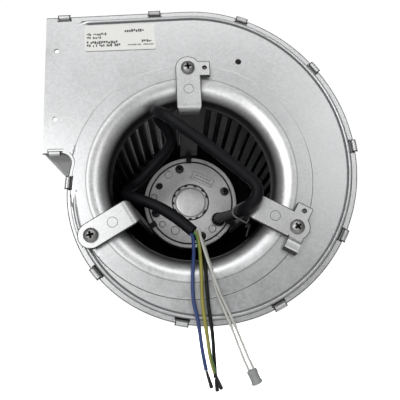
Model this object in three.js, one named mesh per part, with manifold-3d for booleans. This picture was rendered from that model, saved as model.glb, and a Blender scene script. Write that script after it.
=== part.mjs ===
// A single-inlet centrifugal blower: galvanised scroll housing, forward-curved wheel on an
// external-rotor motor, and three bent brackets that hold the motor in the inlet.
// Millimetres, +Z up. The wheel spins about Y and the inlet faces -Y. Everything is drawn round
// the wheel's axis, with y = 0 on the front plate's outer face, and the whole blower is then
// moved so that the centre of the outlet opening is the origin.
import * as THREE from 'three';
import { mergeVertices, mergeGeometries } from 'three/addons/utils/BufferGeometryUtils.js';
import Module from 'manifold-3d';

const wasm = await Module();
wasm.setup();

// ---- driving dimensions -------------------------------------------------------------------
const GAP = 0.3; // clearance between pieces that touch
const HOUSING_DEPTH = 146;
const SHEET = 1.2; // thickness of the side plates
const WRAP_SHEET = 1.0;

// scroll outline: distance from the wheel's axis to the plates' edge
const OUTLET_X = -104;
const OUTLET_TOP_Z = 126;
const CUT_OFF_R = 86.2; // radius at the cut-off, half a turn from +X
const GROWTH = 0.173; // mm of radius per degree
const EASE_FROM = 225; // degrees after the cut-off where the growth eases off
const EASE = 3.84e-5;
const FIRST_TURN = -7;
const LAST_TURN = 270;
const TONGUE_R = 7; // fillet between the tongue and the outlet floor
const TONGUE_LEAN = 15;

// folded edge: bead in the plate, wall set in from the edge, tabs bent over the plate
const BEAD_OUT = 3.8;
const BEAD_IN = 6.8;
const BEAD_HEIGHT = 1.2;
const BEAD_START_X = -76;
const WALL_INSET = 1.4;
const TAB_LENGTH = 9;
const TAB_PITCH = 67.3;
const TAB_COUNT = 10;
const FIRST_TAB_AT = 13.4;
const TAB_PROUD = 1.2; // how far a folded tab stands past the plate's edge
const TAB_THICK = 1.0;

// inlet
const STEP_R = 85;
const STEP_HEIGHT = 1.0;
const MOUTH_R = 73;
const THROAT_R = 58;
const MOUTH_CURVE = MOUTH_R - THROAT_R;
const MOUTH_LIP_Y = 16;

// brackets
const BRACKET_ANGLES = { top: 90, left: 210, right: 330 };
const ARM_TOP_Y = -5;
const ARM_THICK = 2.5;
const ARM_HALF = 9;
const ARM_SCREW_R = 80;
const BEND_R = 52.5; // distance from the axis to the centre of the bend
const BEND_OUTER = 6;
const LEG_FOOT_R = 41.7;
const FOOT_Y = 92;
const FOOT_TAB_HALF = 2.3;
const BOSS_R = 7.5;
const SCREW_R = 2.4;
const SCREW_HEAD_R = 5;
const SCREW_HEAD_HEIGHT = 2.6;
const SCREW_LENGTH = 11; // below the head
const NUT_R = 4.6;
const NUT_HEIGHT = 4;

// motor
const FLANGE_R = 41;
const FLANGE_Y = 87;
const FLANGE_FACE_Y = FLANGE_Y + 0.4; // the face inside the raised rim
const FLANGE_THICK = 8;
const CAP_R = 13.5;
const RING_R = 16.4;
const FLANGE_SCREW_CIRCLE_R = 32;
const FLANGE_SCREW_HEAD_R = 3.8;
const FLANGE_SCREW_HEAD_HEIGHT = 1.8;
const FLANGE_SCREW_R = 1.6;
const FLANGE_SCREW_LENGTH = 6; // below the head
const FLANGE_SCREW_ANGLES = [105.6, 15.6, -74.4, -164.4];
const TUBE_R = 11;
const BEARING_R = 8;
const SHAFT_R = 4;
const TUBE_END_Y = 128;
const ROTOR_R = 42.5;
const ROTOR_WALL = 3;
const ROTOR_Y = 96;
const ROTOR_END_Y = 133;

// wheel
const WHEEL_R = 70;
const BLADE_IN_R = 60.5;
const BLADE_COUNT = 44;
const BLADE_THICK = 0.7;
const BLADE_LEAN = 5; // how far a blade's tip leads its root
const WHEEL_FRONT_Y = 20;
const DISC_THICK = 1.2;

// lead
const SLEEVE_D = 8.2;
const WIRE_D = 2.5;
const WHITE_WIRE_D = 1.8;

// ---- finishes ---------------------------------------------------------------------------
const finish = (color, roughness, metalness) => ({ color, roughness, metalness });
const GALVANISED = finish(0xc4c7c9, 0.42, 0.85);
const CAST = finish(0xc9cbcb, 0.5, 0.8);
const ZINC_SCREW = finish(0x77787a, 0.35, 0.9);
const BLACK_STEEL = finish(0x1c1d20, 0.5, 0.4);
const STEEL = finish(0x9a9c9f, 0.35, 0.9);
const LAMINATION = finish(0x55585c, 0.5, 0.7);
const COPPER = finish(0xa8623a, 0.4, 0.8);
const RUBBER = finish(0x151517, 0.8, 0.0);
const BLACK_SLEEVE = finish(0x17181c, 0.45, 0.0);
const LABEL = finish(0xf3f3ef, 0.6, 0.0);
const TIE = finish(0xd8dcd6, 0.4, 0.0);
const BLUE = finish(0x33447e, 0.45, 0.0);
const GREEN_YELLOW = finish(0x86a04a, 0.45, 0.0);
const BLACK_WIRE = finish(0x141614, 0.45, 0.0);
const WHITE_WIRE = finish(0xd4d5d0, 0.5, 0.0);
const TINNED = finish(0x8c8d8a, 0.4, 0.8);

// ---- geometry helpers -------------------------------------------------------------------
const radians = THREE.MathUtils.degToRad;
const vec2 = (x, y) => new THREE.Vector2(x, y);
const vec3 = (x, y, z) => new THREE.Vector3(x, y, z);

const blower = new THREE.Group();

function add(name, geometry, look) {
  const mesh = new THREE.Mesh(geometry, new THREE.MeshStandardMaterial(look));
  mesh.name = name;
  blower.add(mesh);
}

// Position-only copy with shared vertices, no collapsed triangles, faces pointing out.
function closed(geometry) {
  const bare = new THREE.BufferGeometry();
  bare.setAttribute('position', geometry.getAttribute('position').clone());
  if (geometry.index) bare.setIndex(geometry.index.clone());
  const merged = mergeVertices(bare, 1e-4);
  const from = merged.index.array;
  const position = merged.getAttribute('position');
  const index = [];
  let volume = 0;
  const [a, b, c] = [vec3(), vec3(), vec3()];
  for (let i = 0; i < from.length; i += 3) {
    const [p, q, r] = [from[i], from[i + 1], from[i + 2]];
    if (p === q || q === r || r === p) continue;
    index.push(p, q, r);
    a.fromBufferAttribute(position, p);
    b.fromBufferAttribute(position, q);
    c.fromBufferAttribute(position, r);
    volume += a.dot(b.cross(c));
  }
  if (volume < 0) {
    for (let i = 0; i < index.length; i += 3) {
      [index[i + 1], index[i + 2]] = [index[i + 2], index[i + 1]];
    }
  }
  merged.setIndex(index);
  return merged;
}

function solid(geometry) {
  const shell = closed(geometry);
  const vertProperties = new Float32Array(shell.getAttribute('position').array);
  const triVerts = new Uint32Array(shell.index.array);
  return new wasm.Manifold(new wasm.Mesh({ numProp: 3, vertProperties, triVerts }));
}

function geometryOf(manifold) {
  const mesh = manifold.getMesh();
  const geometry = new THREE.BufferGeometry();
  geometry.setAttribute('position', new THREE.BufferAttribute(new Float32Array(mesh.vertProperties), 3));
  geometry.setIndex(Array.from(mesh.triVerts));
  return geometry;
}

const join = (first, ...rest) => rest.reduce((all, piece) => all.add(solid(piece)), solid(first));
const cut = (body, ...tools) => tools.reduce((left, tool) => left.subtract(solid(tool)), body);

// A flat piece: the shape is drawn in x and z, as seen from the inlet, and has depth along y.
function slab(shape, yFront, thick, curveSegments = 24) {
  const geometry = new THREE.ExtrudeGeometry(shape, { depth: thick, bevelEnabled: false, curveSegments });
  geometry.rotateX(Math.PI / 2);
  geometry.translate(0, yFront + thick, 0);
  return geometry;
}

// A turned piece about the wheel's axis, from a closed loop of [radius, y].
function turned(loop, segments = 48) {
  const points = loop.map(([r, y]) => vec2(r, y));
  points.push(points[0].clone());
  return new THREE.LatheGeometry(points, segments);
}

function disc(r, yFront, thick, x = 0, z = 0, segments = 20) {
  const geometry = new THREE.CylinderGeometry(r, r, thick, segments);
  geometry.translate(x, yFront + thick / 2, z);
  return geometry;
}

function block(xSize, ySize, zSize, x, y, z) {
  const geometry = new THREE.BoxGeometry(xSize, ySize, zSize);
  geometry.translate(x, y, z);
  return geometry;
}

function polar(r, degrees) {
  return vec2(r * Math.cos(radians(degrees)), r * Math.sin(radians(degrees)));
}

// Turn a piece drawn along +X so that it lies along the given angle about the wheel's axis.
function swing(geometry, degrees) {
  return geometry.rotateY(-radians(degrees));
}

function polygon(points) {
  return new THREE.Shape(points.map(([x, z]) => vec2(x, z)));
}

// ---- scroll outline ---------------------------------------------------------------------
function scrollRadius(turn) {
  const ease = Math.max(0, turn - EASE_FROM);
  return CUT_OFF_R + GROWTH * turn - EASE * ease ** 3;
}

// The plates' edge from a place on the top wall, clockwise as seen from the inlet, to the
// outlet's floor: top wall, spiral, tongue, fillet and floor.
function rimPoints(startX) {
  const crown = polar(scrollRadius(LAST_TURN), LAST_TURN - 180);
  const corner = vec2(OUTLET_X, OUTLET_TOP_Z);
  const points = [corner.lerp(crown, (startX - OUTLET_X) / (crown.x - OUTLET_X))];
  const spiralStep = 5;
  const steps = Math.round((LAST_TURN - FIRST_TURN) / spiralStep);
  for (let i = 0; i <= steps; i += 1) {
    const turn = LAST_TURN + ((FIRST_TURN - LAST_TURN) * i) / steps;
    points.push(polar(scrollRadius(turn), turn - 180));
  }
  return points;
}

function tongueAndFloor() {
  const tongue = polar(scrollRadius(FIRST_TURN), FIRST_TURN - 180);
  const centre = tongue.clone().sub(polar(TONGUE_R, -TONGUE_LEAN));
  const points = [];
  for (let angle = 0; angle <= 90; angle += 18) points.push(centre.clone().add(polar(TONGUE_R, angle)));
  points.push(vec2(OUTLET_X, centre.y + TONGUE_R));
  return points;
}

const RIM = [...rimPoints(OUTLET_X), ...tongueAndFloor()];
const BEAD_LINE = rimPoints(BEAD_START_X);
const OUTLET_FLOOR_Z = RIM[RIM.length - 1].y;

// A line of rim points moved towards the inside of the housing. The ends move straight along z
// where they lie on the outlet's plane.
function offsetLine(line, inset) {
  return line.map((point, i) => {
    const before = line[Math.max(i - 1, 0)];
    const after = line[Math.min(i + 1, line.length - 1)];
    const along = after.clone().sub(before).normalize();
    const inward = vec2(along.y, -along.x);
    const moved = point.clone().addScaledVector(inward, inset);
    if (point.x === OUTLET_X) moved.x = OUTLET_X;
    return moved;
  });
}

// A strip that follows a line of rim points between two insets.
function rimStrip(line, outer, inner) {
  return new THREE.Shape([...offsetLine(line, outer), ...offsetLine(line, inner).reverse()]);
}

// Point and direction on the rim at a distance along it.
function alongRim(distance) {
  let left = distance;
  for (let i = 1; i < RIM.length; i += 1) {
    const piece = RIM[i].clone().sub(RIM[i - 1]);
    const length = piece.length();
    if (left <= length) {
      const along = piece.normalize();
      return { point: RIM[i - 1].clone().addScaledVector(along, left), along };
    }
    left -= length;
  }
  return { point: RIM[RIM.length - 1], along: vec2(-1, 0) };
}

function rimLength() {
  return RIM.slice(1).reduce((sum, point, i) => sum + point.distanceTo(RIM[i]), 0);
}

const FLOOR_TAB_FROM_END = 8.5;
const TAB_PLACES = Array.from({ length: TAB_COUNT }, (_, i) => FIRST_TAB_AT + i * TAB_PITCH);
TAB_PLACES.push(rimLength() - FLOOR_TAB_FROM_END);

// A block on the rim between two insets, used for the tabs and for their slots.
function rimBlock(place, length, outer, inner, y0, y1) {
  const { point, along } = alongRim(place);
  const geometry = new THREE.BoxGeometry(length, y1 - y0, inner - outer);
  geometry.translate(0, (y0 + y1) / 2, -(outer + inner) / 2);
  geometry.rotateY(-Math.atan2(along.y, along.x));
  geometry.translate(point.x, 0, point.y);
  return geometry;
}

// ---- housing ----------------------------------------------------------------------------
const OUTLET_HOLES = [[-95.9, 98.8], [-96, 45.2]];
const OUTLET_HOLE_R = 1.8;
const SIDE_HOLE = [38, 86.6];
const SIDE_HOLE_R = 2.3;
const SLOT_CLEAR = 0.8;
const SLOT_OUT = 1.1;
const SLOT_IN = 3.6;

// One side plate with its bead, lying between y0 and y0 + SHEET; face is -1 for the front.
function sidePlate(y0, face, openingR) {
  const shape = new THREE.Shape([...RIM].reverse());
  if (openingR) shape.holes.push(new THREE.Path().absarc(0, 0, openingR, 0, 2 * Math.PI, true));
  for (const [x, z] of OUTLET_HOLES) {
    shape.holes.push(new THREE.Path().absarc(x, z, OUTLET_HOLE_R, 0, 2 * Math.PI, true));
  }
  const mid = y0 + SHEET / 2;
  const outerFace = face < 0 ? y0 : y0 + SHEET;
  let plate = solid(slab(shape, y0, SHEET, 12));
  const top = outerFace + face * BEAD_HEIGHT;
  const bead = slab(rimStrip(BEAD_LINE, BEAD_OUT, BEAD_IN), Math.min(mid, top), Math.abs(top - mid));
  plate = plate.add(solid(bead));
  const slots = TAB_PLACES.map((place) => {
    return rimBlock(place, TAB_LENGTH + 2 * SLOT_CLEAR, SLOT_OUT, SLOT_IN, y0 - 2, y0 + SHEET + 2);
  });
  return cut(plate, ...slots);
}

function frontPlate() {
  const back = SHEET - 0.2;
  const steps = 4;
  const arc = (radius) => Array.from({ length: steps + 1 }, (_, i) => {
    const a = (Math.PI / 2) * (i / steps);
    return [MOUTH_R - radius * Math.sin(a), MOUTH_CURVE - STEP_HEIGHT - radius * Math.cos(a)];
  });
  const mouth = turned([
    [STEP_R, back],
    [STEP_R, -STEP_HEIGHT + 0.4],
    [STEP_R - 0.8, -STEP_HEIGHT],
    ...arc(MOUTH_CURVE),
    [THROAT_R, MOUTH_LIP_Y],
    [THROAT_R + SHEET, MOUTH_LIP_Y],
    ...arc(MOUTH_CURVE - SHEET).reverse(),
    [MOUTH_R + 2, back],
  ], 44);
  const room = slab(new THREE.Shape(offsetLine(RIM, BEAD_OUT)), -3, 30);
  const inlet = solid(mouth).intersect(solid(room));
  let plate = sidePlate(0, -1, MOUTH_R + 1).add(inlet);
  for (const angle of Object.values(BRACKET_ANGLES)) {
    const at = polar(ARM_SCREW_R, angle);
    const height = -(ARM_TOP_Y + ARM_THICK) - GAP;
    plate = plate.add(solid(disc(BOSS_R, -height, height + 0.5, at.x, at.y, 20)));
    plate = plate.subtract(solid(disc(SCREW_R + GAP, -6, 20, at.x, at.y, 12)));
  }
  const [x, z] = SIDE_HOLE;
  return geometryOf(plate.subtract(solid(disc(SIDE_HOLE_R, -6, 20, x, z, 16))));
}

function rearPlate() {
  const plate = sidePlate(HOUSING_DEPTH - SHEET, 1, 0);
  const [dishR, dishHeight] = [62, 1.5];
  const dish = disc(dishR, HOUSING_DEPTH - SHEET / 2, dishHeight + SHEET / 2, 0, 0, 40);
  return geometryOf(plate.add(solid(dish)));
}

function scrollWrap() {
  const front = SHEET + GAP;
  const back = HOUSING_DEPTH - SHEET - GAP;
  let wrap = solid(slab(rimStrip(RIM, WALL_INSET, WALL_INSET + WRAP_SHEET), front, back - front));
  const lap = 0.5;
  for (const place of TAB_PLACES) {
    for (const [foldY, necks] of [[-GAP - TAB_THICK, [-GAP - 0.5, front + lap]],
      [HOUSING_DEPTH + GAP, [back - lap, HOUSING_DEPTH + GAP + 0.5]]]) {
      const neck = rimBlock(place, TAB_LENGTH, WALL_INSET + 0.05, WALL_INSET + WRAP_SHEET - 0.05, ...necks);
      const fold = rimBlock(place, TAB_LENGTH, -TAB_PROUD, WALL_INSET + WRAP_SHEET, foldY, foldY + TAB_THICK);
      wrap = wrap.add(solid(neck)).add(solid(fold));
    }
  }
  return geometryOf(wrap);
}

function ratingLabel() {
  const [width, height, corner] = [52.4, 20.6, 1.2];
  const shape = new THREE.Shape();
  shape.moveTo(-width / 2 + corner, -height / 2);
  for (const [cx, cz, from] of [[1, -1, -90], [1, 1, 0], [-1, 1, 90], [-1, -1, 180]]) {
    const x = cx * (width / 2 - corner);
    const z = cz * (height / 2 - corner);
    shape.absarc(x, z, corner, radians(from), radians(from + 90), false);
  }
  const [thick, x, z, tilt] = [0.3, -49.3, 108.5, 1];
  const geometry = slab(shape, -GAP - thick, thick, 4);
  geometry.rotateY(-radians(tilt));
  geometry.translate(x, 0, z);
  return closed(geometry);
}

// ---- brackets ---------------------------------------------------------------------------
const EAR_HOLE_R = 1.65;
const LEG_TOP_R = BEND_R - BEND_OUTER;

// Side view of a bracket, in distance from the axis and y.
function bracketProfile() {
  const bendY = ARM_TOP_Y + BEND_OUTER;
  const bendInner = BEND_OUTER - ARM_THICK;
  const armEnd = ARM_SCREW_R + ARM_HALF;
  const bend = (radius) => Array.from({ length: 7 }, (_, i) => {
    const a = (Math.PI / 2) * (i / 6);
    return [BEND_R - radius * Math.sin(a), bendY - radius * Math.cos(a)];
  });
  return [
    [armEnd, ARM_TOP_Y],
    ...bend(BEND_OUTER),
    [LEG_FOOT_R, FOOT_Y],
    [LEG_FOOT_R + ARM_THICK, FOOT_Y],
    ...bend(bendInner).reverse(),
    [armEnd, ARM_TOP_Y + ARM_THICK],
  ];
}

function bracket(side, tabbed) {
  // Side view extruded across the strap's width, drawn along +X.
  const profile = new THREE.Shape(bracketProfile().map(([r, y]) => vec2(r, y)));
  const strap = new THREE.ExtrudeGeometry(profile, { depth: 2 * ARM_HALF, bevelEnabled: false });
  strap.translate(0, 0, -ARM_HALF);
  const plan = new THREE.Shape();
  plan.moveTo(LEG_FOOT_R - 10, -ARM_HALF);
  plan.lineTo(ARM_SCREW_R, -ARM_HALF);
  plan.absarc(ARM_SCREW_R, 0, ARM_HALF, -Math.PI / 2, Math.PI / 2, false);
  plan.lineTo(LEG_FOOT_R - 10, ARM_HALF);
  let body = solid(strap).intersect(solid(slab(plan, ARM_TOP_Y - 5, 120, 12)));
  // The foot's tab, bent in over the motor flange.
  const tabThick = 2;
  const tabIn = 35.6;
  const tabY = FLANGE_Y - GAP - tabThick / 2;
  const tabOut = LEG_FOOT_R + ARM_THICK / 2;
  body = body.add(solid(block(tabOut - tabIn, tabThick, 2 * FOOT_TAB_HALF, (tabIn + tabOut) / 2, tabY, 0)));
  if (side) {
    // A side ear with a tapped hole.
    const ear = polygon([[73.5, side * 4], [73.5, side * 16.2], [85, side * 16.2], [85, side * 4]]);
    body = body.add(solid(slab(ear, ARM_TOP_Y, ARM_THICK)));
    body = cut(body, disc(EAR_HOLE_R, ARM_TOP_Y - 2, 8, 79.8, side * 12.2, 14));
  }
  if (tabbed) {
    // A raised cable tab on the side away from the ear, its end rolled back towards the plate.
    const [inner, outer] = [78, 88];
    const section = [[-8, ARM_TOP_Y], [-9.4, ARM_TOP_Y], [-10.4, -6.2], [-15.6, -6.2], [-17.2, -5.4], [-17.8, -3.8],
      [-17.8, -1.5], [-16, -1.5], [-16, -3.4], [-15.2, -4.2], [-11, -4.2], [-9.8, ARM_TOP_Y + ARM_THICK],
      [-8, ARM_TOP_Y + ARM_THICK]];
    const shape = new THREE.Shape(section.map(([v, y]) => vec2(v * side, y)));
    const tab = new THREE.ExtrudeGeometry(shape, { depth: outer - inner, bevelEnabled: false });
    tab.rotateY(-Math.PI / 2);
    tab.translate(outer, 0, 0);
    body = body.add(solid(tab));
  }
  body = cut(body, disc(SCREW_R + GAP, ARM_TOP_Y - 3, 10, ARM_SCREW_R, 0, 12));
  return geometryOf(body);
}

function crossRecess(r, top, deep, wide) {
  return [block(2 * r, deep, wide, 0, top + deep / 2, 0), block(wide, deep, 2 * r, 0, top + deep / 2, 0)];
}

// A pan-head screw with a cross recess, head top at y = 0, shank towards +Y.
function panScrew(headR, headHeight, shankR, shankLength, segments) {
  const tip = headHeight + shankLength;
  const dome = [[0, 0], [headR * 0.5, 0.05 * headHeight], [headR * 0.82, 0.28 * headHeight]];
  const loop = [...dome, [headR, 0.7 * headHeight], [headR, headHeight], [shankR, headHeight],
    [shankR, tip], [0, tip]];
  const recess = crossRecess(headR * 0.5, -0.2, headHeight * 0.6, headR * 0.22);
  return cut(solid(turned(loop, segments)), ...recess);
}

function bracketScrew(angle) {
  const top = ARM_TOP_Y - GAP - SCREW_HEAD_HEIGHT;
  const geometry = geometryOf(panScrew(SCREW_HEAD_R, SCREW_HEAD_HEIGHT, SCREW_R, SCREW_LENGTH, 12));
  geometry.translate(ARM_SCREW_R, top, 0);
  return swing(geometry, angle);
}

function bracketNut(angle) {
  const nut = new THREE.CylinderGeometry(NUT_R, NUT_R, NUT_HEIGHT, 6);
  const body = cut(solid(nut), disc(SCREW_R + GAP, -5, 10, 0, 0, 12));
  const geometry = geometryOf(body);
  geometry.translate(ARM_SCREW_R, SHEET + GAP + NUT_HEIGHT / 2, 0);
  return swing(geometry, angle);
}

// ---- motor ------------------------------------------------------------------------------

function statorFlange() {
  const face = FLANGE_FACE_Y;
  const back = FLANGE_Y + FLANGE_THICK;
  const bore = BEARING_R + GAP;
  let body = solid(turned([
    [bore, face + 1.5], [CAP_R + 0.4, face + 1.5], [CAP_R + 0.4, face - 0.2], [CAP_R + 0.8, face - 0.2],
    [CAP_R + 0.8, face + 1.2], [RING_R + 0.3, face + 1.2], [RING_R + 0.3, face], [FLANGE_R - 4.4, face],
    [FLANGE_R - 4.4, face + 1.4], [FLANGE_R - 3.2, face + 1.4], [FLANGE_R - 3.2, FLANGE_Y],
    [FLANGE_R - 0.6, FLANGE_Y], [FLANGE_R, FLANGE_Y + 0.6], [FLANGE_R, back], [TUBE_R, back],
    [TUBE_R, TUBE_END_Y], [bore, TUBE_END_Y],
  ], 32));
  const raised = 0.4;
  for (const [r, angle, size] of [[31.6, 126, 3.2], [32.4, 170, 2.8], [31.6, 217, 2.6], [28.6, 240, 3.6],
    [30.5, -54, 3]]) {
    const at = polar(r, angle);
    body = body.add(solid(disc(size, face - raised, 1, at.x, at.y, 8)));
  }
  const plate = block(19, 1, 5.4, 0, face - raised + 0.5, 0);
  plate.rotateY(radians(27));
  plate.translate(11.5, 0, 20.5);
  body = body.add(solid(plate));
  const hole = polar(31.4, 150);
  body = cut(body, disc(2.9, face - 1, 6, hole.x, hole.y, 12));
  for (const angle of FLANGE_SCREW_ANGLES) {
    const at = polar(FLANGE_SCREW_CIRCLE_R, angle);
    body = cut(body, disc(FLANGE_SCREW_R + GAP, face - 1, 20, at.x, at.y, 8));
  }
  return geometryOf(body);
}

function flangeScrew(angle) {
  const screw = panScrew(
    FLANGE_SCREW_HEAD_R, FLANGE_SCREW_HEAD_HEIGHT, FLANGE_SCREW_R, FLANGE_SCREW_LENGTH, 10,
  );
  const geometry = geometryOf(screw);
  geometry.translate(FLANGE_SCREW_CIRCLE_R, FLANGE_FACE_Y - GAP - FLANGE_SCREW_HEAD_HEIGHT, 0);
  return swing(geometry, angle);
}

function bearingCap() {
  const face = FLANGE_FACE_Y;
  const domed = [[0, face - 0.6], [CAP_R - 1, face - 0.6], [CAP_R, face - 0.1]];
  return closed(turned([...domed, [CAP_R, face + 1.2], [0, face + 1.2]], 24));
}

function capRing() {
  const body = solid(ring(CAP_R + 0.8 + GAP, RING_R - 0.4, FLANGE_FACE_Y + 0.1, FLANGE_FACE_Y + 0.9, 24));
  const gapAngle = -40;
  return geometryOf(cut(body, swing(block(4, 4, 3, RING_R - 1, FLANGE_FACE_Y, 0), gapAngle)));
}

function ring(inner, outer, y0, y1, segments = 20) {
  return closed(turned([[inner, y0], [outer, y0], [outer, y1], [inner, y1]], segments));
}

// Laminated stack with slots for the coils, open outwards towards the rotor.
function statorCore() {
  const [outer, y0, y1, slots] = [35.5, 104, 122, 12];
  let body = solid(ring(TUBE_R + GAP, outer, y0, y1, 36));
  for (let i = 0; i < slots; i += 1) {
    const slot = swing(block(14, 30, 5, 25, (y0 + y1) / 2, 0), (i * 360) / slots);
    const mouth = swing(block(10, 30, 1.6, 34, (y0 + y1) / 2, 0), (i * 360) / slots);
    body = cut(body, slot, mouth);
  }
  return geometryOf(body);
}

function rotorCup() {
  const inner = ROTOR_R - ROTOR_WALL;
  const floor = ROTOR_END_Y - 2.5;
  let body = solid(turned([[0, floor], [inner - 1, floor], [inner, floor - 1], [inner, ROTOR_Y], [ROTOR_R, ROTOR_Y],
    [ROTOR_R, ROTOR_END_Y - 2], [ROTOR_R - 2, ROTOR_END_Y], [0, ROTOR_END_Y]], 32));
  body = cut(body, disc(SHAFT_R + GAP, floor - 5, 20, 0, 0, 20));
  for (const angle of RIVET_ANGLES) body = cut(body, rivetHole(angle));
  return geometryOf(body);
}

const RIVET_CIRCLE_R = 26;
const RIVET_R = 2;
const RIVET_ANGLES = [45, 135, 225, 315];

function rivetHole(angle) {
  const at = polar(RIVET_CIRCLE_R, angle);
  return disc(RIVET_R + GAP, ROTOR_END_Y - 10, 20, at.x, at.y, 12);
}

function rotorRivet(angle) {
  const [headR, headHeight] = [3.8, 1.6];
  const y0 = ROTOR_END_Y - 2.5;
  const y1 = ROTOR_END_Y + GAP + DISC_THICK + GAP;
  const end = y1 + headHeight;
  const loop = [[0, y0], [RIVET_R, y0], [RIVET_R, y1], [headR, y1], [headR * 0.8, end], [0, end]];
  const geometry = closed(turned(loop, 12));
  geometry.translate(RIVET_CIRCLE_R, 0, 0);
  return swing(geometry, angle);
}

// ---- wheel ------------------------------------------------------------------------------
function backDisc() {
  const y0 = ROTOR_END_Y + GAP;
  const boreR = 6;
  const y1 = y0 + DISC_THICK;
  let body = solid(turned([[boreR, y0], [WHEEL_R, y0], [WHEEL_R, y1], [boreR, y1]], 36));
  for (const angle of RIVET_ANGLES) body = cut(body, rivetHole(angle));
  return geometryOf(body);
}

// Cross-section of one blade at +X: the tip leads the root in the direction of rotation,
// anticlockwise as seen from the inlet.
function bladeShape() {
  const steps = 2;
  const tipR = WHEEL_R - 0.5;
  const face = (shift) => Array.from({ length: steps + 1 }, (_, i) => {
    const s = i / steps;
    return vec2(BLADE_IN_R + s * (tipR - BLADE_IN_R) - shift * 0.5 * s, BLADE_LEAN * s * s + shift);
  });
  return new THREE.Shape([...face(-BLADE_THICK / 2), ...face(BLADE_THICK / 2).reverse()]);
}

function bladeRing() {
  const y0 = WHEEL_FRONT_Y;
  const y1 = ROTOR_END_Y;
  const [hoopWide, overlap] = [3.5, 0.5];
  const hoopIn = BLADE_IN_R - 0.4;
  const hoop = (from, to) => turned([[hoopIn, from], [WHEEL_R, from], [WHEEL_R, to], [hoopIn, to]], 44);
  const blades = Array.from({ length: BLADE_COUNT }, (_, i) => {
    const blade = slab(bladeShape(), y0 + hoopWide - overlap, y1 - y0 - hoopWide - 1 + overlap);
    return swing(closed(blade), (i * 360) / BLADE_COUNT);
  });
  return geometryOf(join(mergeGeometries(blades), hoop(y0, y0 + hoopWide), hoop(y1 - 2, y1)));
}

// ---- lead -------------------------------------------------------------------------------
function tube(points, diameter, sides, steps) {
  const section = new THREE.Shape(Array.from({ length: sides }, (_, i) => {
    return polar(diameter / 2, (i * 360) / sides);
  }));
  const extrudePath = new THREE.CatmullRomCurve3(points.map((p) => vec3(...p)), false, 'centripetal');
  return closed(new THREE.ExtrudeGeometry(section, { steps, bevelEnabled: false, extrudePath }));
}

// From the motor flange forward along the right leg, across the inlet to the upper left,
// back under itself, down to the left, and across the motor to its open end.
const SLEEVE_ROUTE = [
  [24.1, 86.7, -16.5], [24.6, 78, -16.8], [26.6, 66, -18.2], [29.2, 52, -20], [31.2, 38, -21.8], [32.6, 24, -23.6],
  [33.2, 10, -25], [34, -1, -25.8], [37.4, -9.4, -24.4], [41.3, -13, -20.4], [42.4, -14, -15.2], [40.2, -14, -10],
  [35.6, -13.6, -5], [25.5, -12.8, 4.6], [9.2, -12, 19.3], [-7.4, -11, 33.4], [-17, -9.4, 41.6],
  [-23, -4.6, 46.8], [-25, 3.6, 48.6], [-22, 12.4, 46.4], [-17, 21, 42.2], [-15, 28.6, 36.8], [-19, 35.2, 30.2],
  [-28, 41, 22.1], [-37, 44.6, 13.8], [-44.5, 43.4, 6.6], [-49.6, 37, 0], [-49.8, 28.6, -5.6], [-43.8, 21.4, -9],
  [-34.6, 16.4, -13.6], [-23.8, 13.5, -19.4], [-11.8, 12, -28], [-0.9, 10, -38],
];

const WIRE_ROUTES = {
  blue: [[-1.8, 8.6, -41.2], [-1.2, 6.4, -45.5], [-1.3, 3.4, -52], [-1.8, -0.4, -59], [-2.9, -3.2, -69],
    [-3.1, -4, -85.1], [-0.8, -4, -97.8], [1.1, -4, -116], [3, -4, -128.7]],
  green_yellow: [[1, 8.6, -40.2], [2.1, 6.2, -45], [2.8, 2.8, -52.5], [2.9, -1, -60], [2.9, -3.4, -69.3],
    [2.7, -4, -86.6], [4.6, -4, -106.7], [6.2, -4, -121.5], [8.4, -4, -130.6]],
  black: [[-0.5, 11.4, -40.8], [2.4, 11, -45.2], [5, 6.8, -52], [5.8, 0.8, -60.4], [6, -3.2, -69.4],
    [6.4, -4, -86.8], [8.2, -3.2, -107], [8.6, -1.2, -119.7], [8.9, -1, -134]],
  white_left: [[1.6, 11.2, -38.4], [4.8, 8.6, -43.8], [6.6, 4.2, -51], [8.2, 0.8, -58.6],
    [9.9, -1.5, -65], [11.2, -2.1, -75.4], [13.3, -2.6, -83.4], [16.2, -3.2, -91.4],
    [19.8, -4, -100.9], [23.5, -4, -112], [27.2, -4, -123.1], [30.6, -4, -131.6]],
  white_right: [[3.2, 9, -37.2], [4.1, 5, -44], [6, 0.6, -53], [7.7, -2.2, -60.2], [9.6, -4, -66.6],
    [12.3, -4.2, -75], [15, -4.2, -82.9], [18.3, -4.2, -90.6], [22, -4.2, -100], [26.1, -4, -111],
    [30, -4, -121.8], [33.6, -4, -130.4]],
};
const WIRE_LOOKS = {
  blue: BLUE, green_yellow: GREEN_YELLOW, black: BLACK_WIRE, white_left: WHITE_WIRE, white_right: WHITE_WIRE,
};

// A short turned piece on the end of a wire, past the wire's last point.
function wireEnd(from, towards, radius, length, segments = 10) {
  const start = vec3(...from);
  const along = vec3(...towards).sub(start).normalize();
  const geometry = new THREE.CylinderGeometry(radius, radius, length, segments);
  geometry.applyQuaternion(new THREE.Quaternion().setFromUnitVectors(vec3(0, 1, 0), along));
  const middle = start.addScaledVector(along, GAP + length / 2);
  geometry.translate(middle.x, middle.y, middle.z);
  return closed(geometry);
}

function convexHull(points) {
  const sorted = [...points].sort((a, b) => a.x - b.x || a.y - b.y);
  const turn = (o, a, b) => (a.x - o.x) * (b.y - o.y) - (a.y - o.y) * (b.x - o.x);
  const chain = (list) => {
    const hull = [];
    for (const point of list) {
      while (hull.length > 1 && turn(hull.at(-2), hull.at(-1), point) <= 0.001) hull.pop();
      hull.push(point);
    }
    return hull.slice(0, -1);
  };
  return [...chain(sorted), ...chain(sorted.reverse())];
}

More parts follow.
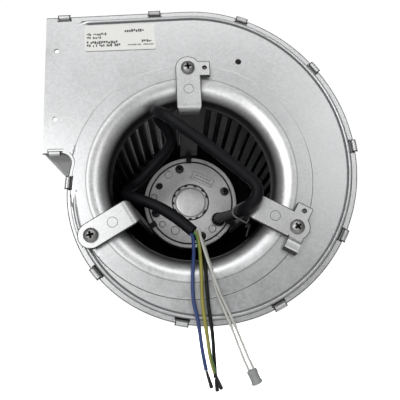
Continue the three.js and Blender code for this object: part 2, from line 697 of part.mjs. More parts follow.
// The strap that ties the sleeve to the right bracket's leg, drawn with the leg along +X, in
// distance out along the leg's angle and across it.
function cableTie() {
  const [y, wide, thick] = [12, 2.6, 0.9];
  const [sleeveU, sleeveV] = [41.1, -4.9];
  const loop = (grow) => {
    const round = (u, v, r) => Array.from({ length: 16 }, (_, i) => polar(r, i * 22.5).add(vec2(u, v)));
    const points = round(sleeveU, sleeveV, SLEEVE_D / 2 + 0.5 + grow);
    for (const v of [-ARM_HALF, ARM_HALF]) {
      for (const u of [LEG_TOP_R - 0.3, LEG_TOP_R + ARM_THICK - 0.6]) points.push(...round(u, v, 0.6 + grow));
    }
    return convexHull(points);
  };
  const shape = new THREE.Shape(loop(thick));
  shape.holes.push(new THREE.Path(loop(0)));
  // The catch on the leg's far edge and the strap's free end past it.
  const head = polygon([[49.2, -9.5], [52.6, -9.9], [52.9, -13], [49.2, -12.6]]);
  const tail = polygon([[51.6, -12], [52.7, -12], [53.8, -18.6], [52.7, -18.9]]);
  const strap = solid(slab(shape, y, wide));
  const body = strap.add(solid(slab(head, y - 0.8, wide + 1.6))).add(solid(slab(tail, y, wide)));
  return swing(geometryOf(body), BRACKET_ANGLES.right);
}

// ---- assembly ---------------------------------------------------------------------------
add('front_plate', frontPlate(), GALVANISED);
add('rear_plate', rearPlate(), GALVANISED);
add('scroll_wrap', scrollWrap(), GALVANISED);
add('rating_label', ratingLabel(), LABEL);

const EAR_SIDE = { top: -1, left: 0, right: 1 };
for (const [name, angle] of Object.entries(BRACKET_ANGLES)) {
  add(`motor_bracket_${name}`, swing(bracket(EAR_SIDE[name], name === 'right'), angle), GALVANISED);
  add(`bracket_screw_${name}`, bracketScrew(angle), ZINC_SCREW);
  add(`bracket_nut_${name}`, bracketNut(angle), STEEL);
}

add('stator_flange', statorFlange(), CAST);
FLANGE_SCREW_ANGLES.forEach((angle, i) => add(`flange_screw_${i + 1}`, flangeScrew(angle), ZINC_SCREW));
add('bearing_cap', bearingCap(), CAST);
add('cap_ring', capRing(), STEEL);
add('bearing_front', ring(SHAFT_R + GAP, BEARING_R, 97, 102), STEEL);
add('bearing_rear', ring(SHAFT_R + GAP, BEARING_R, 121, 126), STEEL);
add('stator_core', statorCore(), LAMINATION);
add('winding_front', ring(17, 33, 97, 103.7), COPPER);
add('winding_rear', ring(17, 33, 122.3, 128), COPPER);

add('motor_shaft', closed(turned([[0, 93], [SHAFT_R, 93], [SHAFT_R, 136], [0, 136]], 20)), STEEL);
add('rotor_cup', rotorCup(), BLACK_STEEL);
add('rotor_ring', ring(36.5, ROTOR_R - ROTOR_WALL - GAP, 98, 126, 32), STEEL);
add('wheel_back_disc', backDisc(), BLACK_STEEL);
add('wheel_blades', bladeRing(), BLACK_STEEL);
RIVET_ANGLES.forEach((angle, i) => add(`rotor_rivet_${i + 1}`, rotorRivet(angle), STEEL));

const grommet = ring(SLEEVE_D / 2 + GAP, 6, 84.8, FLANGE_Y + 0.1, 14);
add('lead_grommet', grommet.translate(SLEEVE_ROUTE[0][0], 0, SLEEVE_ROUTE[0][2]), RUBBER);
add('cable_tie', cableTie(), TIE);
add('lead_sleeve', tube(SLEEVE_ROUTE, SLEEVE_D, 8, 52), BLACK_SLEEVE);
for (const [name, route] of Object.entries(WIRE_ROUTES)) {
  const across = name.startsWith('white') ? WHITE_WIRE_D : WIRE_D;
  add(`wire_${name}`, tube(route, across, 8, 14), WIRE_LOOKS[name]);
}
add('ferrule_blue', wireEnd(WIRE_ROUTES.blue.at(-1), [6.1, -4, -139.8], 1.1, 11), BLACK_WIRE);
const greenYellowEnd = WIRE_ROUTES.green_yellow.at(-1);
add('ferrule_green_yellow', wireEnd(greenYellowEnd, [12.6, -4, -141.6], 1.1, 10.5), BLACK_WIRE);
add('ferrule_black', wireEnd(WIRE_ROUTES.black.at(-1), [9.6, -1.2, -142.6], 1.1, 8), BLACK_WIRE);
add('crimp_cap', wireEnd([32.2, -4, -131.2], [35, -4, -138.6], 3.6, 7.5, 12), TINNED);

const outletMiddleZ = (OUTLET_TOP_Z + OUTLET_FLOOR_Z) / 2;
blower.position.set(-OUTLET_X, -HOUSING_DEPTH / 2, -outletMiddleZ);

export default blower;
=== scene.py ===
import math
import random

import bmesh
import bpy
import numpy as np
from mathutils import Matrix, Vector
from mathutils.geometry import delaunay_2d_cdt


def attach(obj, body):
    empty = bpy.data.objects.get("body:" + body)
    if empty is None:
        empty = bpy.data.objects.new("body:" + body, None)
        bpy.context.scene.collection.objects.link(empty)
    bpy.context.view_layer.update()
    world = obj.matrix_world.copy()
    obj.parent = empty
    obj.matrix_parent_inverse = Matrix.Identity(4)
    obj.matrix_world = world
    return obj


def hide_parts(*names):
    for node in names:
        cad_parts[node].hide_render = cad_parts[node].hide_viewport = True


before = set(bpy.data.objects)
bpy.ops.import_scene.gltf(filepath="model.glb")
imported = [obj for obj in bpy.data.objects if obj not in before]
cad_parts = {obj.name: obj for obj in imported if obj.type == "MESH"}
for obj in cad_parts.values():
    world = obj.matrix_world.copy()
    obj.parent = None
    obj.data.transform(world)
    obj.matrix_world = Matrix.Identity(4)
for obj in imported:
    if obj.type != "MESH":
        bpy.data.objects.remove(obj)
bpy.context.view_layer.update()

# Shapes are drawn in millimetres round the wheel's axis, with y = 0 on the front plate's outer
# face, x to the right, y into the housing and z up. row() gives metres in the row frame.
AXIS = np.array((104.0, -73.0, -72.5845))


def row(points):
    return (np.asarray(points, float) + AXIS) * 0.001


# ---- camera ----
RIGHT = (0.99822, -0.03669, -0.04707)
UP = (0.03795, -0.21862, 0.97507)
BACK = (-0.04607, -0.97512, -0.21684)
EYE = row((-9.86, -303.6, -85.33))
LENS_MM = 40.5
camera = bpy.data.objects.new("camera", bpy.data.cameras.new("camera"))
bpy.context.scene.collection.objects.link(camera)
camera.matrix_world = Matrix([(RIGHT[i], UP[i], BACK[i], EYE[i]) for i in range(3)] + [(0, 0, 0, 1)])
camera.data.sensor_width = 36
camera.data.lens = LENS_MM
camera.data.clip_start = 0.01
camera.data.clip_end = 50
bpy.context.scene.camera = camera


# ---- node materials ----
class Nodes:
    """A material and short calls for its nodes."""

    def __init__(self, name, color, metallic, roughness):
        self.material = bpy.data.materials.new(name)
        self.material.use_nodes = True
        self.tree = self.material.node_tree
        self.shader = self.tree.nodes["Principled BSDF"]
        self.shader.inputs["Base Color"].default_value = (*color, 1)
        self.shader.inputs["Metallic"].default_value = metallic
        self.shader.inputs["Roughness"].default_value = roughness
        self.place = self.node("ShaderNodeTexCoord").outputs["Object"]

    def node(self, kind, **values):
        made = self.tree.nodes.new(kind)
        for key, value in values.items():
            setattr(made, key, value)
        return made

    def feed(self, value, socket):
        """Links a socket, or sets a plain number or colour."""
        if isinstance(value, tuple):
            socket.default_value = (*value, 1)
        elif isinstance(value, (int, float)):
            socket.default_value = value
        else:
            self.tree.links.new(value, socket)

    def axis(self, vector, name):
        split = self.node("ShaderNodeSeparateXYZ")
        self.feed(vector, split.inputs["Vector"])
        return split.outputs[name]

    def noise(self, scale, detail=2.0):
        made = self.node("ShaderNodeTexNoise")
        self.feed(scale, made.inputs["Scale"])
        self.feed(detail, made.inputs["Detail"])
        self.feed(self.place, made.inputs["Vector"])
        return made.outputs["Fac"]

    def cells(self, scale):
        made = self.node("ShaderNodeTexVoronoi")
        self.feed(scale, made.inputs["Scale"])
        self.feed(self.place, made.inputs["Vector"])
        grey = self.node("ShaderNodeSeparateColor")
        self.feed(made.outputs["Color"], grey.inputs["Color"])
        return grey.outputs[0]

    def ramp(self, value, low, high, to_low, to_high):
        made = self.node("ShaderNodeMapRange")
        for key, number in zip(("From Min", "From Max", "To Min", "To Max"), (low, high, to_low, to_high)):
            self.feed(number, made.inputs[key])
        self.feed(value, made.inputs["Value"])
        return made.outputs["Result"]

    def vary(self, noise, to_low, to_high):
        """A noise texture's value, spread between two limits."""
        return self.ramp(noise, 0.3, 0.7, to_low, to_high)

    def math(self, kind, a, b):
        made = self.node("ShaderNodeMath", operation=kind)
        self.feed(a, made.inputs[0])
        self.feed(b, made.inputs[1])
        return made.outputs[0]

    def mix(self, amount, first, second, blend="MIX"):
        """Mix of two colours; each is a colour tuple or a socket."""
        made = self.node("ShaderNodeMix", data_type="RGBA", blend_type=blend)
        self.feed(amount, made.inputs[0])
        self.feed(first, made.inputs[6])
        self.feed(second, made.inputs[7])
        return made.outputs[2]

    def shade(self, color, factor):
        """A colour, tuple or socket, times a grey factor."""
        grey = self.node("ShaderNodeCombineColor")
        for slot in range(3):
            self.feed(factor, grey.inputs[slot])
        return self.mix(1, color, grey.outputs[0], "MULTIPLY")

    def color(self, socket):
        self.feed(socket, self.shader.inputs["Base Color"])

    def rough(self, socket):
        self.feed(socket, self.shader.inputs["Roughness"])

    def bump(self, height, strength, distance):
        made = self.node("ShaderNodeBump")
        self.feed(strength, made.inputs["Strength"])
        self.feed(distance, made.inputs["Distance"])
        self.feed(height, made.inputs["Height"])
        self.feed(made.outputs["Normal"], self.shader.inputs["Normal"])


def worn_metal(name, color, metallic, roughness, grain=1500, blotch=28, speck=620, spread=0.03,
               depth=0.00005):
    """Sheet or cast metal: fine grain, small crystals, broad blotches and a shallow bump."""
    made = Nodes(name, color, metallic, roughness)
    fine = made.noise(grain, 3)
    broad = made.noise(blotch, 3)
    crystals = made.cells(speck)
    factor = made.math("ADD", made.vary(fine, -0.05, 0.05), made.vary(broad, 0.94, 1.04))
    factor = made.math("ADD", factor, made.ramp(crystals, 0, 1, -0.06, 0.06))
    made.color(made.shade(color, factor))
    uneven = made.math("ADD", made.vary(broad, -spread, spread), roughness)
    made.rough(made.math("ADD", uneven, made.ramp(crystals, 0, 1, -spread, spread)))
    made.bump(fine, 0.35, depth)
    return made


def plain_part(name, color, metallic, roughness, grain=900, depth=0.00004, spread=0.06, tint=0.12, gloss=0.5):
    """Plastic, rubber, plated or painted metal with a fine texture and uneven gloss."""
    made = Nodes(name, color, metallic, roughness)
    made.shader.inputs["Specular IOR Level"].default_value = gloss
    fine = made.noise(grain, 3)
    made.color(made.shade(color, made.vary(made.noise(60, 2), 1 - tint, 1 + tint)))
    made.rough(made.vary(fine, roughness - spread, roughness + spread))
    made.bump(fine, 0.3, depth)
    return made


def painted_depth_shade(made, near, far, darkest):
    """Painted shade: darkens a finish with depth into the housing, where less light reaches."""
    depth = made.ramp(made.axis(made.place, "Y"), near, far, 1, darkest)
    made.color(made.shade(made.shader.inputs["Base Color"].links[0].from_socket, depth))


galvanised = worn_metal("galvanised", (0.64, 0.645, 0.65), 0.82, 0.37)
# Painted shade: a dark copy of the finish for the brackets' embossed grooves.
groove_shade = worn_metal("galvanised_groove_shade", (0.13, 0.13, 0.133), 0.4, 0.55, blotch=40, spread=0.04)
# Painted shade: a darker copy of the finish for the lines beside the rim's bead and at the step's foot on the
# rim.
rim_fold_shade = worn_metal("galvanised_rim_fold_shade", (0.27, 0.273, 0.278), 0.5, 0.5, blotch=40, spread=0.04)
# Painted shade: a darker copy of the finish for the thin line at the mouth's fold.
fold_line_shade = worn_metal("galvanised_fold_line_shade", (0.4, 0.405, 0.41), 0.75, 0.42)
bracket_steel = worn_metal("bracket_steel", (0.7, 0.705, 0.705), 0.82, 0.38, 1900, 45, 900, depth=0.00006)
# Painted shade on the brackets' bends and legs, darker deeper in the housing.
painted_depth_shade(bracket_steel, -0.0772, -0.0705, 0.05)
# Painted highlight: a brighter copy of the plate's galvanised finish on the mouth's curve, with painted shade
# deeper in.
mouth_painted_light = worn_metal("galvanised_mouth_painted_light", (0.86, 0.865, 0.87), 0.8, 0.35)
painted_depth_shade(mouth_painted_light, -0.0715, -0.0655, 0.06)
wall_steel = worn_metal("galvanised_wall", (0.4, 0.403, 0.408), 0.6, 0.58)
# Painted shade: near black for cut edges, the rim's outer strip, the tabs' ends and the cable tab's bent lip.
edge_shade = worn_metal("painted_edge_shade", (0.05, 0.05, 0.052), 0.0, 0.75, blotch=40)
cast = worn_metal("cast_aluminium", (0.97, 0.97, 0.965), 0.3, 0.4, 1400, 70, 800, depth=0.0001)
# Painted shade: near black for the flange's grooves, mark outlines and hollows.
cast_groove_shade = worn_metal("cast_groove_shade", (0.05, 0.05, 0.052), 0.2, 0.6, 1400, 70, 800, depth=0.0001)
cap_metal = worn_metal("cap_metal", (0.92, 0.92, 0.92), 0.7, 0.38, 1600, 90, 500, depth=0.00008)
dark_screw = plain_part("dark_screw", (0.36, 0.36, 0.355), 0.9, 0.36, 1400, 0.00003)
deep_screw = plain_part("deep_screw", (0.09, 0.092, 0.095), 0.8, 0.42, 1400, 0.00003)
zinc = plain_part("zinc_part", (0.5, 0.5, 0.49), 0.9, 0.35, 1400, 0.00003)
steel = plain_part("steel", (0.45, 0.45, 0.46), 0.95, 0.3, 1200, 0.00002)
black_steel = plain_part("black_steel", (0.0045, 0.0047, 0.005), 0.0, 0.5, 1100, 0.00005, 0.08, 0.3, 0.16)
# Painted shade: near black for the deep faces of screw recesses.
recess_shade = plain_part("recess_shade", (0.006, 0.006, 0.006), 0.0, 0.7, 1100, 0.00002, 0.05, 0.1, 0.1)
lamination = plain_part("lamination", (0.16, 0.165, 0.17), 0.8, 0.45)
copper = plain_part("copper", (0.5, 0.2, 0.09), 0.9, 0.35)
cage = plain_part("rotor_cage", (0.07, 0.07, 0.075), 0.6, 0.5)
rubber = plain_part("black_rubber", (0.012, 0.012, 0.013), 0.0, 0.7)
sleeve_black = plain_part("sleeve", (0.006, 0.0063, 0.008), 0.0, 0.5, 1300, 0.00006, 0.07, 0.2, 0.18)
tie_nylon = plain_part("tie", (0.2, 0.205, 0.2), 0.0, 0.35)
tie_dark = plain_part("tie_dark", (0.02, 0.02, 0.021), 0.0, 0.4)
blue_vinyl = plain_part("blue_wire", (0.035, 0.062, 0.2), 0.0, 0.38)
black_vinyl = plain_part("black_wire", (0.007, 0.008, 0.007), 0.0, 0.45, gloss=0.25)
white_vinyl = plain_part("white_wire", (0.62, 0.62, 0.58), 0.0, 0.42)
cap_grey = plain_part("grey_cap", (0.36, 0.37, 0.37), 0.0, 0.4)
label_film = plain_part("label", (0.98, 0.98, 0.95), 0.0, 0.5, 700, 0.00001, 0.05, 0.015)
label_ink = plain_part("label_ink", (0.03, 0.03, 0.03), 0.0, 0.6)


def painted_step_shade():
    """Painted shade at the foot of the round step, darker towards the bottom, where less light falls."""
    made = Nodes("galvanised_step_shade", (0.3, 0.3, 0.305), 0.6, 0.5)
    height = made.ramp(made.axis(made.place, "Z"), -0.13, -0.01, 0.22, 0.62)
    speckle = made.math("ADD", height, made.vary(made.noise(1500, 3), -0.02, 0.02))
    made.color(made.shade((1.0, 1.0, 1.0), speckle))
    made.bump(made.noise(1500, 3), 0.3, 0.00004)
    return made


# Turn of the earth wire's stripe at its start, and its twist along the wire, both in radians.
STRIPE_TURN = 2.24
STRIPE_TWIST = -0.035


def two_colour_wire():
    """Green and yellow halves along the wire, from the angle kept in the UV map."""
    made = Nodes("green_yellow_wire", (0.3, 0.4, 0.08), 0.0, 0.38)
    uv = made.node("ShaderNodeUVMap", uv_map="round").outputs["UV"]
    twist = made.math("ADD", made.math("MULTIPLY", made.axis(uv, "Y"), STRIPE_TWIST), STRIPE_TURN)
    angle = made.math("ADD", made.math("MULTIPLY", made.axis(uv, "X"), 2 * math.pi), twist)
    wave = made.math("SINE", angle, 0)
    half = made.ramp(wave, -0.06, 0.06, 0, 1)
    broad = made.vary(made.noise(60), 0.9, 1.1)
    made.color(made.shade(made.mix(half, (0.07, 0.2, 0.06), (0.34, 0.31, 0.06)), broad))
    made.bump(made.noise(1300, 3), 0.3, 0.00004)
    return made


step_shadow = painted_step_shade()
green_yellow = two_colour_wire()


# ---- mesh helpers ----
def piece(name, parts, body, replaces=(), sharp=35, uv=None):
    """One object from (points in mm, faces, material) parts, riding on a CAD body."""
    verts, faces, slots, materials = [], [], [], []
    for points, polygons, made in parts:
        start = len(verts)
        verts += row(points).tolist()
        faces += [[start + i for i in polygon] for polygon in polygons]
        if made.material not in materials:
            materials.append(made.material)
        slots += [materials.index(made.material)] * len(polygons)
    mesh = bpy.data.meshes.new(name)
    mesh.from_pydata(verts, [], faces)
    for material in materials:
        mesh.materials.append(material)
    mesh.polygons.foreach_set("material_index", slots)
    if uv is not None:
        layer = mesh.uv_layers.new(name="round")
        corner = np.zeros(len(mesh.loops), int)
        mesh.loops.foreach_get("vertex_index", corner)
        layer.data.foreach_set("uv", np.asarray(uv, np.float32)[corner].ravel())
    mesh.shade_smooth()
    mesh.set_sharp_from_angle(angle=math.radians(sharp))
    made = bpy.data.objects.new(name, mesh)
    bpy.context.scene.collection.objects.link(made)
    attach(made, body)
    if replaces:
        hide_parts(*replaces)
    return made


def weld(made):
    """Merges points that share a place, so that separately made patches are one surface."""
    shape = bmesh.new()
    shape.from_mesh(made.data)
    bmesh.ops.remove_doubles(shape, verts=shape.verts, dist=0.00002)
    bmesh.ops.recalc_face_normals(shape, faces=shape.faces)
    shape.to_mesh(made.data)
    shape.free()


def facing(made, direction):
    """Turns a sheet so that most of its faces look along direction."""
    normal = sum((p.normal * p.area for p in made.data.polygons), Vector())
    if normal.dot(Vector(direction)) < 0:
        made.data.flip_normals()


def thicken(made, thickness, bevel=0.0, offset=-1, angle=40, segments=2, rim=0, edge=-1):
    """Gives a sheet its thickness in mm and rounds its cut edges. The result is applied.

    rim and edge are the finishes of the cut faces and of their rounding, mostly the painted edge shade."""
    solid = made.modifiers.new("sheet", "SOLIDIFY")
    solid.thickness = thickness * 0.001
    solid.offset = offset
    solid.material_offset_rim = rim
    if bevel:
        add_bevel(made, bevel, angle, segments, edge)
    apply_modifiers(made)


def add_bevel(made, width, angle=40, segments=2, finish=-1):
    edge = made.modifiers.new("edge", "BEVEL")
    edge.width = width * 0.001
    edge.segments = segments
    edge.limit_method = "ANGLE"
    edge.angle_limit = math.radians(angle)
    edge.harden_normals = True
    edge.material = finish


def apply_modifiers(made):
    depsgraph = bpy.context.evaluated_depsgraph_get()
    mesh = bpy.data.meshes.new_from_object(made.evaluated_get(depsgraph))
    made.modifiers.clear()
    made.data = mesh


def quads(rows, columns, closed_rows=False, closed_columns=False, flip=False):
    """Faces of a grid of rows by columns points, optionally joined round."""
    faces = []
    for i in range(rows if closed_rows else rows - 1):
        for j in range(columns if closed_columns else columns - 1):
            i2, j2 = (i + 1) % rows, (j + 1) % columns
            face = [i * columns + j, i * columns + j2, i2 * columns + j2, i2 * columns + j]
            faces.append(face[::-1] if flip else face)
    return faces


def pick(items, marks):
    return [item for item, mark in zip(items, marks) if mark]


def at_depth(flat, y):
    """Flat (x, z) points as points in space, at one depth y or at one for each."""
    flat = np.asarray(flat, float)
    return np.stack([flat[:, 0], np.broadcast_to(y, len(flat)), flat[:, 1]], 1)


def circle(centre, r, count):
    a = np.linspace(0, 2 * math.pi, count, endpoint=False)
    return np.stack([centre[0] + r * np.cos(a), centre[1] + r * np.sin(a)], 1)


def lathe(loop, segments=96, closed=False, centre=(0, 0)):
    """A surface turned about an axis along y, from [radius, y] points."""
    points = [at_depth(circle(centre, r, segments), y) for r, y in loop]
    return np.concatenate(points), quads(len(loop), segments, closed, True)


def prism(loop, y0, y1):
    """A solid between two depths, from a loop that runs anticlockwise as seen from the inlet."""
    n = len(loop)
    faces = [list(range(n)), list(range(2 * n - 1, n - 1, -1))]
    faces += [[i, n + i, n + (i + 1) % n, (i + 1) % n] for i in range(n)]
    return np.concatenate([at_depth(loop, y0), at_depth(loop, y1)]), faces


def polar(r, degrees):
    return np.array((r * math.cos(math.radians(degrees)), r * math.sin(math.radians(degrees))))


def swing(points, degrees):
    """Turns points drawn along +x so that they lie along an angle about the wheel's axis."""
    c, s = math.cos(math.radians(degrees)), math.sin(math.radians(degrees))
    points = np.asarray(points, float)
    u, y, v = points.T
    return np.stack([u * c - v * s, y, u * s + v * c], 1)


def ease(low, high, value):
    t = np.clip((np.asarray(value, float) - low) / (high - low), 0, 1)
    return t * t * (3 - 2 * t)


def inside(points, loop):
    """Which of the 2-D points lie inside a closed loop."""
    x, z = points[:, :1], points[:, 1:]
    a, b = loop, np.roll(loop, -1, 0)
    crosses = (a[:, 1] > z) != (b[:, 1] > z)
    with np.errstate(divide="ignore", invalid="ignore"):
        at = a[:, 0] + (z - a[:, 1]) * (b[:, 0] - a[:, 0]) / (b[:, 1] - a[:, 1])
    return (crosses & (x < at)).sum(1) % 2 == 1


def distance_to(points, line, closed=True):
    """Distance of 2-D points from a polyline."""
    a = line if closed else line[:-1]
    b = np.roll(line, -1, 0) if closed else line[1:]
    best = np.full(len(points), np.inf)
    for p, q in zip(a, b):
        d = q - p
        t = np.clip(((points - p) @ d) / max(d @ d, 1e-12), 0, 1)
        best = np.minimum(best, np.hypot(*(points - p - t[:, None] * d).T))
    return best


def fill(border, holes, extra):
    """Triangles inside the border and outside the holes, through all the points."""
    edges, start = [], 0
    for loop in (border, *holes):
        count = len(loop)
        edges += [(start + i, start + (i + 1) % count) for i in range(count)]
        start += count
    points = np.concatenate([border, *holes, extra])
    made = delaunay_2d_cdt([Vector(p) for p in points], edges, [], 0, 1e-5, False)
    flat, faces = np.array([list(v) for v in made[0]]), np.array([list(f) for f in made[2] if len(f) == 3])
    middle = flat[faces].mean(1)
    keep = inside(middle, border)
    for hole in holes:
        keep &= ~inside(middle, hole)
    return flat, faces[keep].tolist()


def catmull(points, per=8):
    """The centripetal Catmull-Rom curve through the points."""
    points = [np.array(p, float) for p in points]
    points = [2 * points[0] - points[1], *points, 2 * points[-1] - points[-2]]
    line = []
    for i in range(1, len(points) - 2):
        p0, p1, p2, p3 = points[i - 1:i + 3]
        d0, d1, d2 = (math.sqrt(np.linalg.norm(b - a)) for a, b in ((p0, p1), (p1, p2), (p2, p3)))
        t1 = ((p1 - p0) / d0 - (p2 - p0) / (d0 + d1) + (p2 - p1) / d1) * d1
        t2 = ((p2 - p1) / d1 - (p3 - p1) / (d1 + d2) + (p3 - p2) / d2) * d1
        for k in range(per):
            t = k / per
            line.append((2 * t**3 - 3 * t**2 + 1) * p1 + (t**3 - 2 * t**2 + t) * t1
                        + (-2 * t**3 + 3 * t**2) * p2 + (t**3 - t**2) * t2)
    line.append(points[-2])
    return np.array(line)


def distances(line):
    """Distance of each point from the line's start, measured along it."""
    return np.concatenate([[0], np.cumsum(np.linalg.norm(np.diff(line, axis=0), axis=1))])


def tube(line, radii, sides):
    """Rings along a line with end caps: points, faces and the UV of each point."""
    tangent = np.gradient(line, axis=0)
    tangent /= np.linalg.norm(tangent, axis=1)[:, None]
    side = np.cross(tangent[0], (0.3, 1, 0.2))
    angles = np.linspace(0, 2 * math.pi, sides, endpoint=False)
    points, uv = [], []
    for centre, t, r, along in zip(line, tangent, radii, distances(line)):
        side = side - t * (side @ t)
        side /= np.linalg.norm(side)
        other = np.cross(t, side)
        points.append(centre + r * (np.cos(angles)[:, None] * side + np.sin(angles)[:, None] * other))
        uv += [(x / (2 * math.pi), along) for x in angles]
    faces = quads(len(line), sides, closed_columns=True)
    faces += [list(range(sides))[::-1], [(len(line) - 1) * sides + k for k in range(sides)]]
    return np.concatenate(points), faces, uv


# ---- the lead: sleeve and wires ----
SLEEVE_D = 8.2
WIRE_D = 2.5
WHITE_WIRE_D = 1.8
SLEEVE_ROUTE = [
    (24.1, 86.7, -16.5), (24.6, 78, -16.8), (26.6, 66, -18.2), (29.2, 52, -20), (31.2, 38, -21.8),
    (32.6, 24, -23.6), (33.2, 10, -25), (34, -1, -25.8), (37.4, -9.4, -24.4), (41.3, -13, -20.4),
    (42.4, -14, -15.2), (40.2, -14, -10), (35.6, -13.6, -5), (25.5, -12.8, 4.6), (9.2, -12, 19.3),
    (-7.4, -11, 33.4), (-17, -9.4, 41.6), (-23, -4.6, 46.8), (-25, 3.6, 48.6), (-22, 12.4, 46.4),
    (-17, 21, 42.2), (-15, 28.6, 36.8), (-19, 35.2, 30.2), (-28, 41, 22.1), (-37, 44.6, 13.8),
    (-44.5, 43.4, 6.6), (-49.6, 37, 0), (-49.8, 28.6, -5.6), (-43.8, 21.4, -9), (-34.6, 16.4, -13.6),
    (-23.8, 13.5, -19.4), (-11.8, 12, -28), (-0.9, 10, -38),
]
WIRES = {
    "blue": (blue_vinyl, [
        (-1.8, 8.6, -41.2), (-1.2, 6.4, -45.5), (-1.3, 3.4, -52), (-1.8, -0.4, -59), (-2.9, -3.2, -69),
        (-3.1, -4, -85.1), (-0.8, -4, -97.8), (1.1, -4, -116), (3, -4, -128.7)]),
    "green_yellow": (green_yellow, [
        (1, 8.6, -40.2), (2.1, 6.2, -45), (2.8, 2.8, -52.5), (2.9, -1, -60), (2.9, -3.4, -69.3),
        (2.7, -4, -86.6), (4.6, -4, -106.7), (6.2, -4, -121.5), (8.4, -4, -130.6)]),
    "black": (black_vinyl, [
        (-0.5, 11.4, -40.8), (2.4, 11, -45.2), (5, 6.8, -52), (5.8, 0.8, -60.4), (6, -3.2, -69.4),
        (6.4, -4, -86.8), (8.2, -3.2, -107), (8.6, -1.2, -119.7), (8.9, -1, -134)]),
    "white_left": (white_vinyl, [
        (1.6, 11.2, -38.4), (4.8, 8.6, -43.8), (6.6, 4.2, -51), (8.2, 0.8, -58.6), (9.9, -1.5, -65),
        (11.2, -2.1, -75.4), (13.3, -2.6, -83.4), (16.2, -3.2, -91.4), (19.8, -4, -100.9),
        (23.5, -4, -112), (27.2, -4, -123.1), (30.6, -4, -131.6)]),
    "white_right": (white_vinyl, [
        (3.2, 9, -37.2), (4.1, 5, -44), (6, 0.6, -53), (7.7, -2.2, -60.2), (9.6, -4, -66.6),
        (12.3, -4.2, -75), (15, -4.2, -82.9), (18.3, -4.2, -90.6), (22, -4.2, -100), (26.1, -4, -111),
        (30, -4, -121.8), (33.6, -4, -130.4)]),
}
# Distance along the piece and radius there, for the ferrules and for the crimp cap.
FERRULE = [
    (0.25, 0.2), (0.3, 0.85), (2.5, 0.9), (3.2, 1.0), (7.0, 1.1), (9.6, 1.25), (10.6, 1.2),
    (11.1, 0.8), (11.2, 0.1),
]
CRIMP_CAP = [
    (-1.6, 0.4), (-1.5, 3.2), (-0.6, 3.5), (0.6, 3.6), (1.0, 3.3), (5.4, 3.35), (6.2, 3.7), (7.2, 3.6),
    (7.6, 3.0), (7.7, 0.3),
]


def make_sleeve():
    line = catmull(SLEEVE_ROUTE, 10)
    step = np.arange(len(line))
    radii = SLEEVE_D / 2 * (1 + 0.018 * np.sin(step * 0.21) + 0.012 * np.sin(step * 0.083 + 1))
    # The open end: a rounded lip that turns in, with the wires leaving from inside it.
    end = line[-1]
    back = (line[-3] - end) / np.linalg.norm(line[-3] - end)
    inner = np.array([end + back * distance for distance in (0, 0.1, 0.6, 2.0, 2.2)])
    points, faces, _ = tube(line, radii, 32)
    lip, lip_faces, _ = tube(inner, [radii[-1], 3.9, 3.6, 3.5, 0.4], 32)
    parts = [(points, faces[:-1], sleeve_black), (lip, lip_faces[:-2], sleeve_black)]
    made = piece("lead_sleeve_skin", parts, "housing", ["lead_sleeve"])
    weld(made)
    made.data.shade_smooth()


def make_end(name, start, towards, profile, made, node):
    """A turned end piece on a wire, from (distance, radius) pairs."""
    along = np.array(towards, float) - start
    along /= np.linalg.norm(along)
    line = np.array([start + along * d for d, _ in profile])
    points, faces, _ = tube(line, [r for _, r in profile], 20)
    return piece(name, [(points, faces, made)], "housing", [node], sharp=50)


def make_wires():
    ends = {
        "blue": ((6.1, -4, -139.8), FERRULE),
        "green_yellow": ((12.6, -4, -141.6), [(d * 0.95, r) for d, r in FERRULE]),
        "black": ((9.6, -1.2, -142.6), [(0.3 + d * 0.7, r) for d, r in FERRULE]),
    }
    cap_start = np.array((32.2, -4, -131.2))
    cap = make_end("crimp_cap_body", cap_start, (35, -4, -138.6), CRIMP_CAP, cap_grey, "crimp_cap")
    tuck = (np.array(SLEEVE_ROUTE[-2], float) - SLEEVE_ROUTE[-1]) * 0.12
    for name, (made, route) in WIRES.items():
        line = catmull([np.array(route[0], float) + tuck, *route], 10)
        across = WHITE_WIRE_D if made is white_vinyl else WIRE_D
        points, faces, uv = tube(line, [across / 2] * len(line), 20)
        body = piece(f"wire_{name}_skin", [(points, faces, made)], "housing", [f"wire_{name}"], uv=uv)
        end = cap
        if name in ends:
            towards, profile = ends[name]
            end = make_end(f"ferrule_{name}_body", line[-1], towards, profile, rubber, f"ferrule_{name}")


make_sleeve()
make_wires()


# ---- housing outline ----
OUTLET_X = -104.0
OUTLET_TOP_Z = 126.0
# The scroll's radius at the tongue, its growth per degree, and how it turns in past one angle.
SCROLL_R = 86.2
SCROLL_GROWTH = 0.173
TURN_IN = 3.84e-5
TURN_IN_FROM = 225
TONGUE_R = 7.0
TONGUE_TILT = -15
TAB_START = 13.4
TAB_PITCH = 67.3
LAST_TAB = 8.5
TAB_LENGTH = 9.0
SLOT_CLEAR = 0.8
WALL_INSET = 1.4
HOUSING_DEPTH = 146.0
SHEET = 1.2
BEAD_START_X = -76.0
BEAD_HEIGHT = 1.7
BEAD_FROM = 3.75
BEAD_TO = 6.85
STEP_R = 85.0
STEP_HEIGHT = 0.8
REAR_STEP_HEIGHT = 1.5
MOUTH_R = 73.0
THROAT_R = 58.0
THROAT_DEPTH = 16.0
FOLD_R = 73.9
OUTLET_HOLES = [(-95.9, 98.8), (-96.0, 45.2)]
SIDE_HOLE = (38.0, 86.6)


def scroll_radius(turn):
    return SCROLL_R + SCROLL_GROWTH * turn - TURN_IN * max(0.0, turn - TURN_IN_FROM) ** 3


